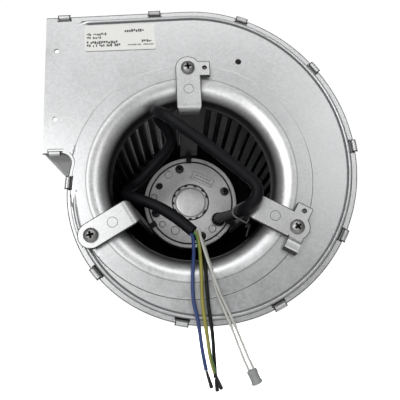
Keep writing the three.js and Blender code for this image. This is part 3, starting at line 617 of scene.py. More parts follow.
def outline(turns, corner):
    """The plates' edge from the outlet's top corner, clockwise as seen from the inlet, to the
    outlet floor's end, and the number of its points up to the tongue."""
    points = [np.array((OUTLET_X, OUTLET_TOP_Z))]
    points += [polar(scroll_radius(turn), turn - 180) for turn in turns]
    spiral = len(points)
    centre = points[-1] - polar(TONGUE_R, TONGUE_TILT)
    points += [centre + polar(TONGUE_R, angle) for angle in corner]
    points.append(np.array((OUTLET_X, centre[1] + TONGUE_R)))
    return np.array(points), spiral


RIM, SPIRAL_END = outline(np.linspace(270, -7, 278), range(0, 91, 6))
RIM_AT = distances(RIM)
RIM_LENGTH = RIM_AT[-1]
FLOOR_Z = RIM[-1][1]
# The CAD's rim has a point every 5 degrees, so its length is a little shorter.
CAD_RIM, _ = outline(np.linspace(270, -7, 56), range(0, 91, 18))
CAD_AT = distances(CAD_RIM)


def point_at(distance, line, at):
    return np.stack([np.interp(distance, at, line[:, k]) for k in range(2)], -1)


def rim_at(distance):
    return point_at(distance, RIM, RIM_AT)


def nearest_on_rim(point):
    a, b = RIM[:-1], RIM[1:]
    d = b - a
    t = np.clip(((point - a) * d).sum(1) / (d * d).sum(1), 0, 1)
    away = np.hypot(*(point - a - t[:, None] * d).T)
    i = int(away.argmin())
    return RIM_AT[i] + t[i] * (RIM_AT[i + 1] - RIM_AT[i])


# Distances along the rim of the tabs' middles, matched to the CAD's points.
TABS = [nearest_on_rim(point_at(distance, CAD_RIM, CAD_AT))
        for distance in [TAB_START + TAB_PITCH * i for i in range(10)] + [CAD_AT[-1] - LAST_TAB]]


def stations(spacing=4.0):
    """Distances along the rim: its own points, slot ends and extra points on straight stretches."""
    half = TAB_LENGTH / 2 + SLOT_CLEAR
    marks = sorted([*RIM_AT, *[t - half for t in TABS], *[t + half for t in TABS]])
    out = [marks[0]]
    for mark in marks[1:]:
        gap = mark - out[-1]
        if gap < 0.02:
            continue
        out += [out[-1] + gap * k / math.ceil(gap / spacing) for k in range(1, math.ceil(gap / spacing))]
        out.append(mark)
    return np.array(out)


def inward(points, closed):
    """Mitred inward direction at each point of a line that runs clockwise."""
    if closed:
        before, after = points - np.roll(points, 1, 0), np.roll(points, -1, 0) - points
    else:
        before = np.diff(points, axis=0, prepend=2 * points[:1] - points[1:2])
        after = np.diff(points, axis=0, append=2 * points[-1:] - points[-2:-1])
    normals = []
    for d in (before, after):
        n = np.stack([d[:, 1], -d[:, 0]], 1)
        normals.append(n / np.maximum(np.hypot(*n.T)[:, None], 1e-9))
    middle = normals[0] + normals[1]
    middle /= np.hypot(*middle.T)[:, None]
    return middle / (middle * normals[0]).sum(1)[:, None]


# Distances in from a plate's edge at which its rim is drawn.
INSETS = np.array([
    0, 0.55, 1.1, 2.2, 2.8, 3.45, 3.6, 3.85, 4.1, 4.4, 4.8, 5.3, 5.8, 6.2, 6.5, 6.85, 7.4, 8.0])


def step_height(r):
    """How far the front plate's round step stands out at a distance from the wheel's axis."""
    return STEP_HEIGHT * (1 - ease(STEP_R - 0.5, STEP_R + 0.2, r))


def rim_strip(face_y, towards, mouth):
    """A plate's rim, with its bead and the slots for the tabs, and the rim's inner border."""
    along = stations()
    points = rim_at(along)
    into = inward(points, False)
    into[0] = into[0] * (0, 1) / abs(into[0][1])
    lateral = np.clip((INSETS - BEAD_FROM) / (BEAD_TO - BEAD_FROM), 0, 1)
    bead = BEAD_HEIGHT * np.sin(math.pi * lateral) ** 0.6
    # The bead starts on the top wall and fades out at the tongue.
    start, tongue = BEAD_START_X - OUTLET_X, RIM_AT[SPIRAL_END - 1]
    fade = ease(start, start + 1.6, along) * (1 - ease(tongue - 34, tongue - 10, along))
    grid = []
    for inset, height in zip(INSETS, bead):
        flat = points + into * inset
        step = step_height(np.hypot(*flat.T)) * ease(2.15, 2.85, inset) if mouth else 0
        grid.append(at_depth(flat, face_y + towards * np.maximum(height * fade, step)))
    strip = np.concatenate(grid)
    middle = (along[:-1] + along[1:]) / 2
    in_slot = np.any([np.abs(middle - tab) < TAB_LENGTH / 2 + SLOT_CLEAR for tab in TABS], axis=0)
    beaded = (fade[:-1] + fade[1:]) > 1
    clear = np.hypot(*(points[:-1] + into[:-1] * 6.8).T) > STEP_R
    faces = quads(len(INSETS), len(points))
    k, i = np.divmod(np.arange(len(faces)), len(points) - 1)
    near, far = INSETS[k], INSETS[k + 1]
    sheet = ~(in_slot[i] & (near > 1.05) & (far < 3.65))
    # Painted shade: faces beside the bead, and at the step's foot where it crosses the rim, take the darker
    # copy.
    beside_bead = beaded[i] & ((near > 3.4) & (near < 4.0) | (near > 6.15) & (near < 7.0))
    fold = np.where(clear[i] | (not mouth), beside_bead, (near > 2.1) & (near < 2.7))
    # The outermost strip of the rim is painted dark as shade.
    edge = far < 0.6
    parts = [(strip, pick(faces, sheet & ~edge & ~fold), galvanised),
             (strip, pick(faces, sheet & ~edge & fold), rim_fold_shade)]
    return parts, (strip, pick(faces, edge), edge_shade), points + into * INSETS[-1]


def plate_field(border, face_y, towards, mouth):
    """A plate's flat field inside its rim, with its round step, its mouth and its holes."""
    gaps = math.ceil((border[0] - border[-1])[1] / 5)
    border = np.concatenate([border, np.linspace(border[-1], border[0], gaps + 1)[1:-1]])
    if mouth:
        radii = [STEP_R + d for d in (0.8, 0.35, 0.1, -0.15, -0.4, -0.65, -1.1)]
        radii += [81] + [FOLD_R + d for d in (0.9, 0.4, 0, -0.4, -0.9)]
        rings = [circle((0, 0), r, 360) for r in radii]
        rings = [ring[(distance_to(ring, border) > 0.5) & inside(ring, border)] for ring in rings]
        holes = [circle((0, 0), MOUTH_R, 240), circle(SIDE_HOLE, 2.3, 40)]
    else:
        rings = [circle((0, 0), r, 240) for r in (63.6, 63.0, 62.6, 62.2, 61.8, 61.3, 60.6)]
        holes = []
    holes += [circle(hole, 1.8, 32) for hole in OUTLET_HOLES]
    rings += [circle(hole, 2.6, 32) for hole in OUTLET_HOLES]
    rings += [circle(SIDE_HOLE, r, 40) for r in (2.9, 4.0)]
    heights = np.linspace(FLOOR_Z + 9, OUTLET_TOP_Z - 9, 40)
    rings.append(np.stack([np.full(len(heights), OUTLET_X + 0.8), heights], 1))
    flat, triangles = fill(border, holes, np.concatenate(rings))
    r = np.hypot(*flat.T)
    depth = step_height(r) if mouth else REAR_STEP_HEIGHT * (1 - ease(61.4, 63.1, r))
    field = at_depth(flat, face_y + towards * depth)
    centre = np.hypot(*flat[np.array(triangles)].mean(1).T)
    narrow = np.array([max(math.dist(flat[t[i]], flat[t[i - 1]]) for i in range(3)) < 4 for t in triangles])
    # Painted shade: the narrow faces at the step's foot take the step's painted shade.
    foot = mouth & narrow & (centre > STEP_R - 0.2) & (centre < STEP_R + 0.4)
    # Painted shade: the narrow faces along the mouth's fold take a darker copy of the finish.
    fold = mouth & narrow & (centre > FOLD_R - 0.45) & (centre < FOLD_R + 0.45)
    return [(field, pick(triangles, ~foot & ~fold), galvanised), (field, pick(triangles, foot), step_shadow),
            (field, pick(triangles, fold), fold_line_shade)]


def mouth_lip():
    """The front plate's mouth, curved in to a throat in front of the wheel."""
    curve = MOUTH_R - THROAT_R
    profile = [(MOUTH_R - curve * math.sin(a), curve - STEP_HEIGHT - curve * math.cos(a))
               for a in np.linspace(0, math.pi / 2, 25)]
    return (*lathe([*profile, (THROAT_R, THROAT_DEPTH)], 240), mouth_painted_light)


def side_plate(name, face_y, towards, node, mouth):
    """One side plate. face_y is its outer face and towards is -1 or 1, the way it faces."""
    parts, edges, border = rim_strip(face_y, towards, mouth)
    parts += plate_field(border, face_y, towards, mouth)
    if mouth:
        parts.append(mouth_lip())
    # The painted edge shade is last, so the thickness given to the sheet takes it on its cut faces.
    parts.append(edges)
    made = piece(name, parts, "housing", [node])
    weld(made)
    facing(made, (0, towards, 0))
    thicken(made, SHEET, 0.12, -1, 50, rim=len(parts))


def scroll_wall():
    """The wall between the plates."""
    points = rim_at(stations())
    into = inward(points, False)
    into[0] = into[0] / abs(into[0][1])
    wall = points + into * WALL_INSET
    wall[0][0] = wall[-1][0] = OUTLET_X
    depths = np.linspace(1.5, HOUSING_DEPTH - 1.5, 7)
    grid = np.concatenate([at_depth(wall, y) for y in depths])
    made = piece("scroll_wall_sheet", [(grid, quads(len(depths), len(wall)), wall_steel)],
                 "housing", ["scroll_wrap"])
    first = made.data.polygons[len(wall) // 2]
    if first.normal.dot(first.center - Vector(row((0, 0, 0)))) < 0:
        made.data.flip_normals()
    thicken(made, 1.0, 0.0, -1)


# A tab's section: how far out it has rolled, and its depth from the plate's outer face.
TAB_ROLL = [
    (0, 3.0), (0, 0.6), (0, -0.1), (0.08, -0.6), (0.35, -1.05), (0.8, -1.3), (1.3, -1.36), (1.85, -1.26),
    (2.3, -1.0), (2.62, -0.6), (2.7, -0.25),
]
TAB_INSET = 1.5


def tabs():
    """Each tab comes up through its slot and rolls outwards over the plate's edge."""
    half = TAB_LENGTH / 2
    across = np.array([-half, *np.linspace(0.75 - half, half - 0.75, 7), half])
    outermost = np.arange((len(TAB_ROLL) - 1) * (len(across) - 1)) % (len(across) - 1)
    outermost = (outermost == 0) | (outermost == len(across) - 2)
    parts = []
    for face in (-1, 1):
        for place in TABS:
            flat = rim_at(np.clip(place + across, 0.05, RIM_LENGTH - 0.05))
            direction = rim_at(min(place + 0.5, RIM_LENGTH)) - rim_at(max(place - 0.5, 0))
            normal = np.array((direction[1], -direction[0])) / np.hypot(*direction)
            points = [at_depth(flat + normal * (TAB_INSET - out), y if face < 0 else HOUSING_DEPTH - y)
                      for out, y in TAB_ROLL]
            points = np.concatenate(points)
            faces = quads(len(TAB_ROLL), len(across), flip=face > 0)
            # The tab's two ends are painted dark as shade.
            parts.append((points, pick(faces, ~outermost), galvanised))
            parts.append((points, pick(faces, outermost), edge_shade))
    made = piece("scroll_wall_tabs", parts, "housing")
    weld(made)
    thicken(made, 0.9, 0.2, 0, 50, rim=1)


side_plate("front_plate_sheet", 0.0, -1, "front_plate", True)
side_plate("rear_plate_sheet", HOUSING_DEPTH, 1, "rear_plate", False)
scroll_wall()
tabs()


# ---- label ----
LABEL_WIDTH = 52.4
LABEL_HEIGHT = 20.6
LABEL_CORNER = 1.2
LABEL_TILT = math.radians(1)
LABEL_AT = (-49.3, 108.5)
# Rows of marks: left end, foot, length and height, from the label's middle.
LABEL_ROWS = [
    (-24.6, 2.2, 14.6, 2.3), (-24.6, -0.5, 9.8, 1.9), (-24.6, -4.7, 23.0, 2.3), (-24.6, -7.1, 23.7, 2.2),
    (3.5, 4.3, 15.1, 2.4), (16.0, -4.5, 7.3, 2.1), (5.7, -6.8, 18.3, 1.1),
]


def on_label(flat):
    flat = np.asarray(flat, float)
    x = flat[:, 0] * math.cos(LABEL_TILT) - flat[:, 1] * math.sin(LABEL_TILT) + LABEL_AT[0]
    z = flat[:, 0] * math.sin(LABEL_TILT) + flat[:, 1] * math.cos(LABEL_TILT) + LABEL_AT[1]
    return np.stack([x, z], 1)


def label():
    """A blank film label with rows of plain marks in place of print."""
    loop = []
    for cx, cz, start in ((1, -1, -90), (1, 1, 0), (-1, 1, 90), (-1, -1, 180)):
        corner = np.array((cx * (LABEL_WIDTH / 2 - LABEL_CORNER), cz * (LABEL_HEIGHT / 2 - LABEL_CORNER)))
        loop += [corner + polar(LABEL_CORNER, a) for a in np.linspace(start, start + 90, 7)]
    draw = random.Random(7)
    marks = []
    for x0, z0, long, tall in LABEL_ROWS:
        x = x0
        while x < x0 + long:
            wide = draw.uniform(0.45, 0.8) * tall
            if draw.random() > 0.12:
                low = z0 + tall * draw.choice((0.0, 0.0, 0.3))
                high = z0 + tall * draw.choice((0.7, 1.0, 1.0))
                marks += [(x, low), (x + wide * 0.74, low), (x + wide * 0.74, high), (x, high)]
            x += wide
    mark_faces = [[i, i + 1, i + 2, i + 3] for i in range(0, len(marks), 4)]
    parts = [(*prism(on_label(loop), -0.55, -0.3), label_film),
             (at_depth(on_label(marks), -0.57), mark_faces, label_ink)]
    piece("rating_label_film", parts, "housing", ["rating_label"])


label()


# ---- brackets ----
# A bracket is drawn along +x, with u out from the axis, y into the housing and v across it.
BRACKET_ANGLES = {"top": 90, "left": 210, "right": 330}
ARM_Y = -5.0
ARM_THICK = 2.5
ARM_HALF = 9.0
SCREW_AT = 80.0
EMBOSS_AT = 63.5
EMBOSS_R = 3.45
BEND_U = 52.5
BEND_OUTER = 6.0
LEG_FOOT = 41.7
FOOT_Y = 92.0
EDGE_BAND = 0.5
# Places across a strap, as parts of its half width; the outermost cells are its cut edges, painted dark as
# shade.
ACROSS = [1, 0.944, 0.7, 0.35, 0, -0.35, -0.7, -0.944, -1]
# The ear's square plate with small corner radii, on one long side of the arm, and its hole.
EAR = [
    (73.5, 9.0), (73.5, 15.4), (73.75, 16.0), (74.3, 16.2), (84.2, 16.2), (84.8, 16.0),
    (85, 15.4), (85, 7.48),
]
EAR_HOLE = (79.8, 12.2)
# The right arm's end is square where the cable tab leaves it, with a small relief notch.
SQUARE_END = [(76.8, -9.0), (77.2, -8.3), (77.6, -9.0), (87.3, -9.0)]
# Side of each arm's ear, and the part of its round end that is left between ear and tab.
EAR_SIDES = {"top": -1, "left": 0, "right": 1}
ROUND_ENDS = {"top": (-7.4, 10), "left": (-10, 10), "right": (-5.3, 7.4)}
# Section of the cable tab in v and y, from the arm's edge to its bent lip.
CABLE_TAB = [
    (-8.6, -4.96), (-9.2, -5.1), (-9.8, -5.6), (-10.4, -6.05), (-11.0, -6.2), (-14.9, -6.2), (-16.2, -5.95),
    (-17.2, -5.2), (-17.75, -4.1), (-17.9, -2.8), (-17.9, -0.7),
]


def dense(points, spacing):
    """The same open line with no two points further apart than spacing."""
    out = [points[0]]
    for a, b in zip(points[:-1], points[1:]):
        count = max(1, math.ceil(math.dist(a, b) / spacing))
        out += [a + (b - a) * k / count for k in range(1, count + 1)]
    return np.array(out)


def arm(side):
    """A bracket's flat arm: its points, faces and the marks of its groove and its cut edges."""
    ear = EAR_SIDES[side]
    plate = [(u, v * ear) for u, v in EAR]
    lowest, highest = ROUND_ENDS[side]
    end = [polar(ARM_HALF, a) + (SCREW_AT, 0) for a in np.linspace(-90, 90, 31)]
    end = [p for p in end if lowest < p[1] < highest]
    bend = [(BEND_U, ARM_HALF * part) for part in ACROSS]
    # Round the arm: bend line, lower side, end and upper side.
    loop = np.array([*bend, *{"top": plate, "left": [], "right": SQUARE_END}[side], *end,
                     *(plate[::-1] if ear > 0 else [])])
    holes = [circle((SCREW_AT, 0), 2.7, 32)]
    extra = [circle((EMBOSS_AT, 0), r, 48) for r in (3.0, 3.3, EMBOSS_R, 3.6, 3.9)]
    if ear:
        hole = (EAR_HOLE[0], EAR_HOLE[1] * ear)
        holes.append(circle(hole, 1.8, 28))
        extra.append(circle(hole, 2.6, 28))
    # A narrow band along the cut edges, painted dark as shade.
    border = dense(np.concatenate([loop[len(bend) - 1:], loop[:1]]), 1.2)
    loop = np.concatenate([loop[:len(bend) - 1], border[:-1]])
    band = loop - inward(loop, True) * EDGE_BAND
    kept = inside(band, loop) & (distance_to(band, border, False) > 0.9 * EDGE_BAND)
    flat, faces = fill(loop, holes, np.concatenate([*extra, band[kept]]))
    away = np.hypot(flat[:, 0] - EMBOSS_AT, flat[:, 1])
    field = at_depth(flat, ARM_Y + 0.28 * (np.abs(away - EMBOSS_R) < 0.1))
    middles = flat[np.array(faces)].mean(1)
    groove = np.abs(np.hypot(*(middles - (EMBOSS_AT, 0)).T) - EMBOSS_R) < 0.22
    cut = distance_to(middles, border, False) < 0.72 * EDGE_BAND
    return field, faces, groove, cut


def leg():
    """A bracket's bend and leg: points, faces and the marks of its cut edges."""
    path = [(BEND_U - BEND_OUTER * math.sin(a), ARM_Y + BEND_OUTER - BEND_OUTER * math.cos(a))
            for a in np.linspace(0, math.pi / 2, 13)]
    top, foot = np.array(path[-1]), np.array((LEG_FOOT, FOOT_Y))
    path += [tuple(top + (foot - top) * t) for t in np.linspace(0, 1, 8)[1:]]
    # The strap is a little narrower past the bend, with a round corner on each side.
    grid = []
    for u, y in path:
        half = ARM_HALF
        if u < BEND_U - 1:
            half -= 1.5 * ease(BEND_U - 1, BEND_U - BEND_OUTER, u) ** 2
        grid += [(u, y, half * part) for part in ACROSS]
    faces = quads(len(path), len(ACROSS))
    column = np.arange(len(faces)) % (len(ACROSS) - 1)
    return np.array(grid), faces, (column == 0) | (column == len(ACROSS) - 2)


def bracket(side, angle):
    """A bent strap: arm with its ear where it has one, bend and leg."""
    field, faces, groove, cut = arm(side)
    strip, cells, outer = leg()
    field, strip = swing(field, angle), swing(strip, angle)
    # Painted shade: the embossed circle's groove and the strap's cut edges take dark copies of the finish.
    parts = [(field, pick(faces, ~groove & ~cut), bracket_steel), (field, pick(faces, groove), groove_shade),
             (strip, pick(cells, ~outer), bracket_steel), (field, pick(faces, cut), edge_shade),
             (strip, pick(cells, outer), edge_shade)]
    made = piece(f"motor_bracket_{side}_strap", parts, "housing", [f"motor_bracket_{side}"])
    weld(made)
    facing(made, (0, -1, 0))
    thicken(made, ARM_THICK, 0.3, -1, 55, 3, rim=2, edge=2)


def bracket_feet():
    """The feet bent in over the motor flange."""
    foot, faces = prism([(35.6, -2.3), (43.5, -2.3), (43.5, 2.3), (35.6, 2.3)], 84.7, 86.7)
    parts = [(swing(foot, angle), faces, bracket_steel) for angle in BRACKET_ANGLES.values()]
    made = piece("motor_bracket_feet", parts, "housing")
    add_bevel(made, 0.3, 40, 3)
    apply_modifiers(made)


def cable_tab():
    """The raised tab on the right bracket, with its bent lip."""
    across = np.linspace(77.7, 87.3, 7)
    grid = swing([(u, y, v) for v, y in CABLE_TAB for u in across], BRACKET_ANGLES["right"])
    faces = quads(len(CABLE_TAB), len(across))
    # The bent lip is painted dark as shade.
    lip = (len(CABLE_TAB) - 5) * (len(across) - 1)
    parts = [(grid, faces[:lip], bracket_steel), (grid, faces[lip:], edge_shade)]
    tab = piece("motor_bracket_cable_tab", parts, "housing")
    weld(tab)
    facing(tab, (0, -1, 0))
    thicken(tab, 1.9, 0.4, -1, 55, 3, rim=1, edge=1)


for side, angle in BRACKET_ANGLES.items():
    bracket(side, angle)
bracket_feet()
cable_tab()


# ---- screws ----
FLANGE_SCREWS = (105.6, 15.6, -74.4, -164.4)
FLANGE_SCREW_R = 32.0


def screw_head(r, height, top_y, recess, turn):
    """Domed head about y with a cross recess: points, faces and the recess's own faces."""
    angles = np.linspace(0, 2 * math.pi, 96, endpoint=False)
    radii = np.array([*np.linspace(0.12, 0.66, 22), 0.74, 0.82, 0.89, 0.94, 0.975, 1.0]) * r
    points, deep_at = [], []
    c, s = np.cos(turn), np.sin(turn)
    for radius in radii:
        t = radius / r
        y = top_y + height * (0.62 * t**2.4 + 0.12 * t**10)
        x, z = radius * np.cos(angles), radius * np.sin(angles)
        a, b = np.abs(x * c + z * s), np.abs(-x * s + z * c)
        along, across = np.maximum(a, b), np.minimum(a, b)
        half = recess * (0.33 - 0.09 * along / recess)
        deep = (1 - ease(half - 0.06, half + 0.1, across)) * (1 - ease(recess - 0.15, recess + 0.1, along))
        points.append(np.stack([x, y + deep * height * 0.62 * (1 - 0.35 * along / recess), z], 1))
        deep_at.append(deep)
    points.append(at_depth(circle((0, 0), r, 96), top_y + height))
    deep_at = np.concatenate([*deep_at, np.zeros(96)])
    faces = quads(len(points), 96, closed_columns=True) + [list(range(96))[::-1]]
    # Faces deep in the cross recess take painted shade.
    dark = np.array([deep_at[face].mean() > 0.45 for face in faces])
    back = [(len(points) - 1) * 96 + k for k in range(96)]
    return np.concatenate(points), [*pick(faces, ~dark), back], pick(faces, dark)


def screw(name, at, head, stem, finish):
    """A screw at a place on the plates, from its head's sizes and its shank's radius and ends."""
    move = np.array((at[0], 0, at[1]))
    points, faces, dark = screw_head(*head)
    r, y0, y1 = stem
    shank, shank_faces = lathe([(0.01, y0), (r, y0), (r, y1 - 0.6), (r - 0.5, y1), (0.01, y1)], 32)
    parts = [(points + move, faces, finish), (points + move, dark, recess_shade),
             (shank + move, shank_faces, finish)]
    piece(f"{name}_head", parts, "housing", [name], sharp=45)


for turn, (side, angle) in zip((0.12, 0.2, 0.55), BRACKET_ANGLES.items()):
    screw(f"bracket_screw_{side}", polar(SCREW_AT, angle), (5.0, 2.9, ARM_Y - 3.2, 2.35, turn),
          (2.4, ARM_Y - 0.4, 5.7), dark_screw)
for i, angle in enumerate(FLANGE_SCREWS):
    screw(f"flange_screw_{i + 1}", polar(FLANGE_SCREW_R, angle), (3.7, 1.7, 85.5, 1.9, 0.5 + i),
          (1.6, 86.9, 92.0), deep_screw)


# ---- motor ----
FLANGE_R = 41.0
FLANGE_Y = 87.0
FACE_Y = FLANGE_Y + 0.4
CAP_R = 13.5
RING_R = 16.4
LEAD_EXIT = (24.1, -16.5)
DARK_HOLE = (31.4, 150)
NOTCH_AT = 305
# Raised circles of the casting: distance from the axis, angle and radius.
MARKS = [(31.6, 126, 3.3), (32.4, 170, 2.6), (31.6, 217, 2.6), (28.6, 240, 3.6), (30.5, -54, 3.1)]
# The raised blank frame: its middle, its turn and half its sides. Its two rows of plain bars:
# how far each is from the frame's middle, and half its length.
FRAME_AT = (11.5, 20.5)
FRAME_TURN = math.radians(-27)
FRAME_HALF = (10.0, 3.6)
BARS = ((1.5, 7.6), (-1.5, 8.6))
# Angles at which the gaps of the notched ring begin, each as wide as GAP.
GAPS = (12, 36, 66, 98, 124, 150, 176, 202, 236, 262, 284)
GAP = 11


def flange():
    """The stator flange's face as a height field on polar rings, closed by its rim and back."""
    count = 640
    radii = [CAP_R + 0.75, CAP_R + 0.8, RING_R - 0.1, RING_R + 0.2, RING_R + 0.35]
    radii += [*np.arange(17.0, 36.3, 0.27), 36.35, 36.5, 36.7, 37.1, 37.5, 37.7, 37.9, 38.3, 39.2, 40.0]
    radii += [40.5, 40.8, 40.95, FLANGE_R]
    angles = np.linspace(0, 2 * math.pi, count, endpoint=False)
    r, a = np.meshgrid(np.array(radii), angles, indexing="ij")
    x, z = r * np.cos(a), r * np.sin(a)

    def away(centre):
        return np.hypot(x - centre[0], z - centre[1])

    y = np.full(r.shape, FACE_Y)
    y += 1.1 * ((r > CAP_R + 0.77) & (r < RING_R + 0.1))
    y += 1.5 * (ease(36.4, 36.65, r) - ease(37.55, 37.8, r)) - 0.4 * ease(37.6, 37.9, r)
    y += 0.6 * ease(40.3, FLANGE_R, r) ** 2
    # The grooves, the marks' outlines, the frame's edge, the raised bars and the dark hole are painted dark
    # as shade.
    grooves = (r > 36.45) & (r < 37.75) | (r > CAP_R + 0.5) & (r < RING_R + 0.25)
    for radius, angle, size in MARKS:
        from_line = np.abs(away(polar(radius, angle)) - size)
        y -= 0.28 * (1 - ease(0.165, 0.55, from_line))
        grooves |= from_line < 0.24
    x1, z1 = x - FRAME_AT[0], z - FRAME_AT[1]
    u = x1 * math.cos(FRAME_TURN) + z1 * math.sin(FRAME_TURN)
    v = -x1 * math.sin(FRAME_TURN) + z1 * math.cos(FRAME_TURN)
    edge = np.abs(np.maximum(np.abs(u) - FRAME_HALF[0], np.abs(v) - FRAME_HALF[1]))
    y -= 0.22 * (1 - ease(0.12, 0.36, edge))
    grooves |= edge < 0.22
    bars = 0.5 + 0.5 * np.sin(u * 4.2)
    for middle, reach in BARS:
        y -= 0.2 * bars * (1 - ease(0.5, 0.8, np.abs(v - middle))) * (1 - ease(reach - 0.4, reach, np.abs(u)))
        grooves |= (np.abs(v - middle) < 0.65) & (np.abs(u) < reach) & (bars > 0.35)
    # Counterbores for the screws, the dark hole, the lead's seat and the notch in the rim.
    for angle in FLANGE_SCREWS:
        y += 0.5 * (1 - ease(3.9, 4.3, away(polar(FLANGE_SCREW_R, angle))))
    y += 5.0 * (1 - ease(2.6, 3.1, away(polar(*DARK_HOLE))))
    grooves |= away(polar(*DARK_HOLE)) < 3.0
    y += 0.3 * (1 - ease(5.9, 6.4, away(LEAD_EXIT)))
    notch = np.abs((np.degrees(a) - NOTCH_AT + 180) % 360 - 180) * math.pi / 180 * 39
    y += 1.6 * (1 - ease(0.5, 0.8, notch)) * ease(37.7, 37.9, r)
    grid = np.stack([x, y, z], -1).reshape(-1, 3)
    faces = quads(len(radii), count, closed_columns=True)
    grooves = grooves.reshape(-1)
    dark = np.array([grooves[face].mean() > 0.6 for face in faces])
    back = [(FLANGE_R, FLANGE_Y + 0.6), (FLANGE_R, 94.6), (40.6, 95.0), (11.0, 95.0), (11.0, 127.6),
            (10.6, 128.0), (8.3, 128.0), (8.3, 88.5), (CAP_R + 0.75, 88.5), (CAP_R + 0.75, 87.4)]
    parts = [(grid, pick(faces, ~dark), cast), (grid, pick(faces, dark), cast_groove_shade)]
    parts.append((*lathe(back, count), cast))
    piece("stator_flange_casting", parts, "housing", ["stator_flange"], sharp=40)


def bearing_cap():
    profile = [(0.02, -0.75), (6, -0.72), (11.6, -0.66), (12.6, -0.55), (13.1, -0.3), (13.4, 0), (13.45, 1.2),
               (0.02, 1.2)]
    disc = lathe([(r, FACE_Y + y) for r, y in profile], 128)
    piece("bearing_cap_disc", [(*disc, cap_metal)], "housing", ["bearing_cap"])


def cap_ring():
    """The notched ring: bright segments with gaps, broken near the lower right, on a base painted dark as
    shade.
    """
    inner, outer = CAP_R + 0.75, RING_R - 0.95
    section = [(inner, 0.9), (inner, 0.15), (inner + 0.15, 0), (outer - 0.15, 0), (outer, 0.15), (outer, 0.9)]
    parts = []
    for low, high in zip((-30, *(start + GAP for start in GAPS)), (*GAPS, 314)):
        n = max(4, int((high - low) / 2))
        arc = np.array([polar(1, a) for a in np.linspace(low, high, n)])
        faces = quads(len(section), n, closed_rows=True)
        faces += [[k * n for k in range(6)], [k * n + n - 1 for k in range(5, -1, -1)]]
        parts.append((np.concatenate([at_depth(arc * r, FACE_Y + y) for r, y in section]), faces, cap_metal))
    base = [(inner, 0.62), (inner + 0.3, 0.58), (outer - 0.3, 0.58), (outer, 0.62), (outer, 0.9),
            (inner, 0.9)]
    parts.append((*lathe([(r, FACE_Y + y) for r, y in base], 96, True), cast_groove_shade))
    piece("cap_ring_segments", parts, "housing", ["cap_ring"])


def grommet():
    loop = [(4.4, 86.9), (4.4, 85.4), (4.7, 84.95), (5.3, 84.8), (5.8, 85.2), (6.0, 86.0), (6.0, 87.1),
            (4.4, 87.1)]
    piece("lead_grommet_ring", [(*lathe(loop, 48, False, LEAD_EXIT), rubber)],
          "housing", ["lead_grommet"])


def rotor():
    """The rotor's cup, with a shallow groove round its wall."""
    inner, outer = 39.5, 42.5
    loop = [(4.3, 130.5), (inner - 1, 130.5), (inner, 129.5), (inner, 96.4), (inner + 0.4, 96.0),
            (42.1, 96.0), (outer, 96.4), (outer, 118.0), (42.3, 118.4), (42.3, 119.4), (outer, 119.8),
            (outer, 131.0), (41.9, 132.4), (40.5, 133.0), (4.3, 133.0)]
    piece("rotor_cup_shell", [(*lathe(loop, 120, True), black_steel)], "wheel", ["rotor_cup"])


flange()
bearing_cap()
cap_ring()
grommet()
rotor()


# ---- wheel ----
BLADES = 44
BLADE_THICK = 0.7
BLADE_LEAN = 5.0
BLADE_ROOT_R = 60.5
BLADE_TIP_R = 69.5
BLADE_ENDS = (21.5, 132.5)


def blade():
    """One blade along +x, curved and leaning, with rounded long edges."""
    steps = np.linspace(0, 1, 9)
    lean = BLADE_LEAN * steps**1.8 - 0.9 * np.sin(math.pi * steps)
    middle = np.stack([BLADE_ROOT_R + steps * (BLADE_TIP_R - BLADE_ROOT_R), lean], 1)
    tangent = np.gradient(middle, axis=0)
    normal = np.stack([-tangent[:, 1], tangent[:, 0]], 1)
    normal /= np.hypot(*normal.T)[:, None]
    taper = BLADE_THICK / 2 * np.sqrt(np.clip(1 - (2 * steps - 1) ** 12, 0.2, 1))[:, None]
    loop = np.concatenate([middle - normal * taper, (middle + normal * taper)[::-1]])
    return prism(loop, *BLADE_ENDS)


def wheel():
    """The ring of blades between its front hoop and its rear ring, and the back plate."""
    points, faces = blade()
    parts = [(swing(points, i * 360 / BLADES), faces, black_steel) for i in range(BLADES)]
    hoop = [(60.2, 20.5), (60.7, 20.0), (69.5, 20.0), (70.0, 20.5), (70.0, 23.4), (69.6, 23.4), (69.2, 21.2),
            (61.0, 21.2), (60.2, 22.4)]
    rear = [(60.1, 131.2), (70.0, 131.2), (70.0, 133.0), (60.1, 133.0)]
    parts += [(*lathe(loop, 176, True), black_steel) for loop in (hoop, rear)]
    piece("wheel_blade_ring", parts, "wheel", ["wheel_blades"])
    disc = [(6.0, 133.3), (30.0, 133.3), (69.7, 133.3), (70.0, 133.6), (70.0, 134.2), (69.7, 134.5),
            (6.0, 134.5)]
    parts = [(*lathe(disc, 144, True), black_steel)]
    piece("wheel_back_plate", parts, "wheel", ["wheel_back_disc"])


wheel()


# ---- cable tie ----
# Section of the strap: how far out from its path, and its depth.
STRAP = [
    (-0.45, 12.2), (-0.3, 12.0), (0.3, 12.0), (0.45, 12.2), (0.45, 14.4), (0.3, 14.6), (-0.3, 14.6),
    (-0.45, 14.4),
]
# The catch and the strap's loose end: outline in u and v, and two depths.
CATCH = ([(49.3, -9.6), (52.6, -9.9), (52.9, -13.0), (49.3, -12.7)], 11.2, 15.4)
LOOSE_END = ([(51.6, -12.0), (52.7, -12.0), (53.8, -18.6), (52.7, -18.9)], 12.1, 14.5)


def hull(points):
    """Convex outline of 2-D points."""
    points = sorted(map(tuple, points))

    def turn(a, b, c):
        return (b[0] - a[0]) * (c[1] - a[1]) - (b[1] - a[1]) * (c[0] - a[0])

    def chain(line):
        out = []
        for p in line:
            while len(out) > 1 and turn(out[-2], out[-1], p) <= 1e-9:
                out.pop()
            out.append(p)
        return out[:-1]

    return np.array(chain(points) + chain(points[::-1]))


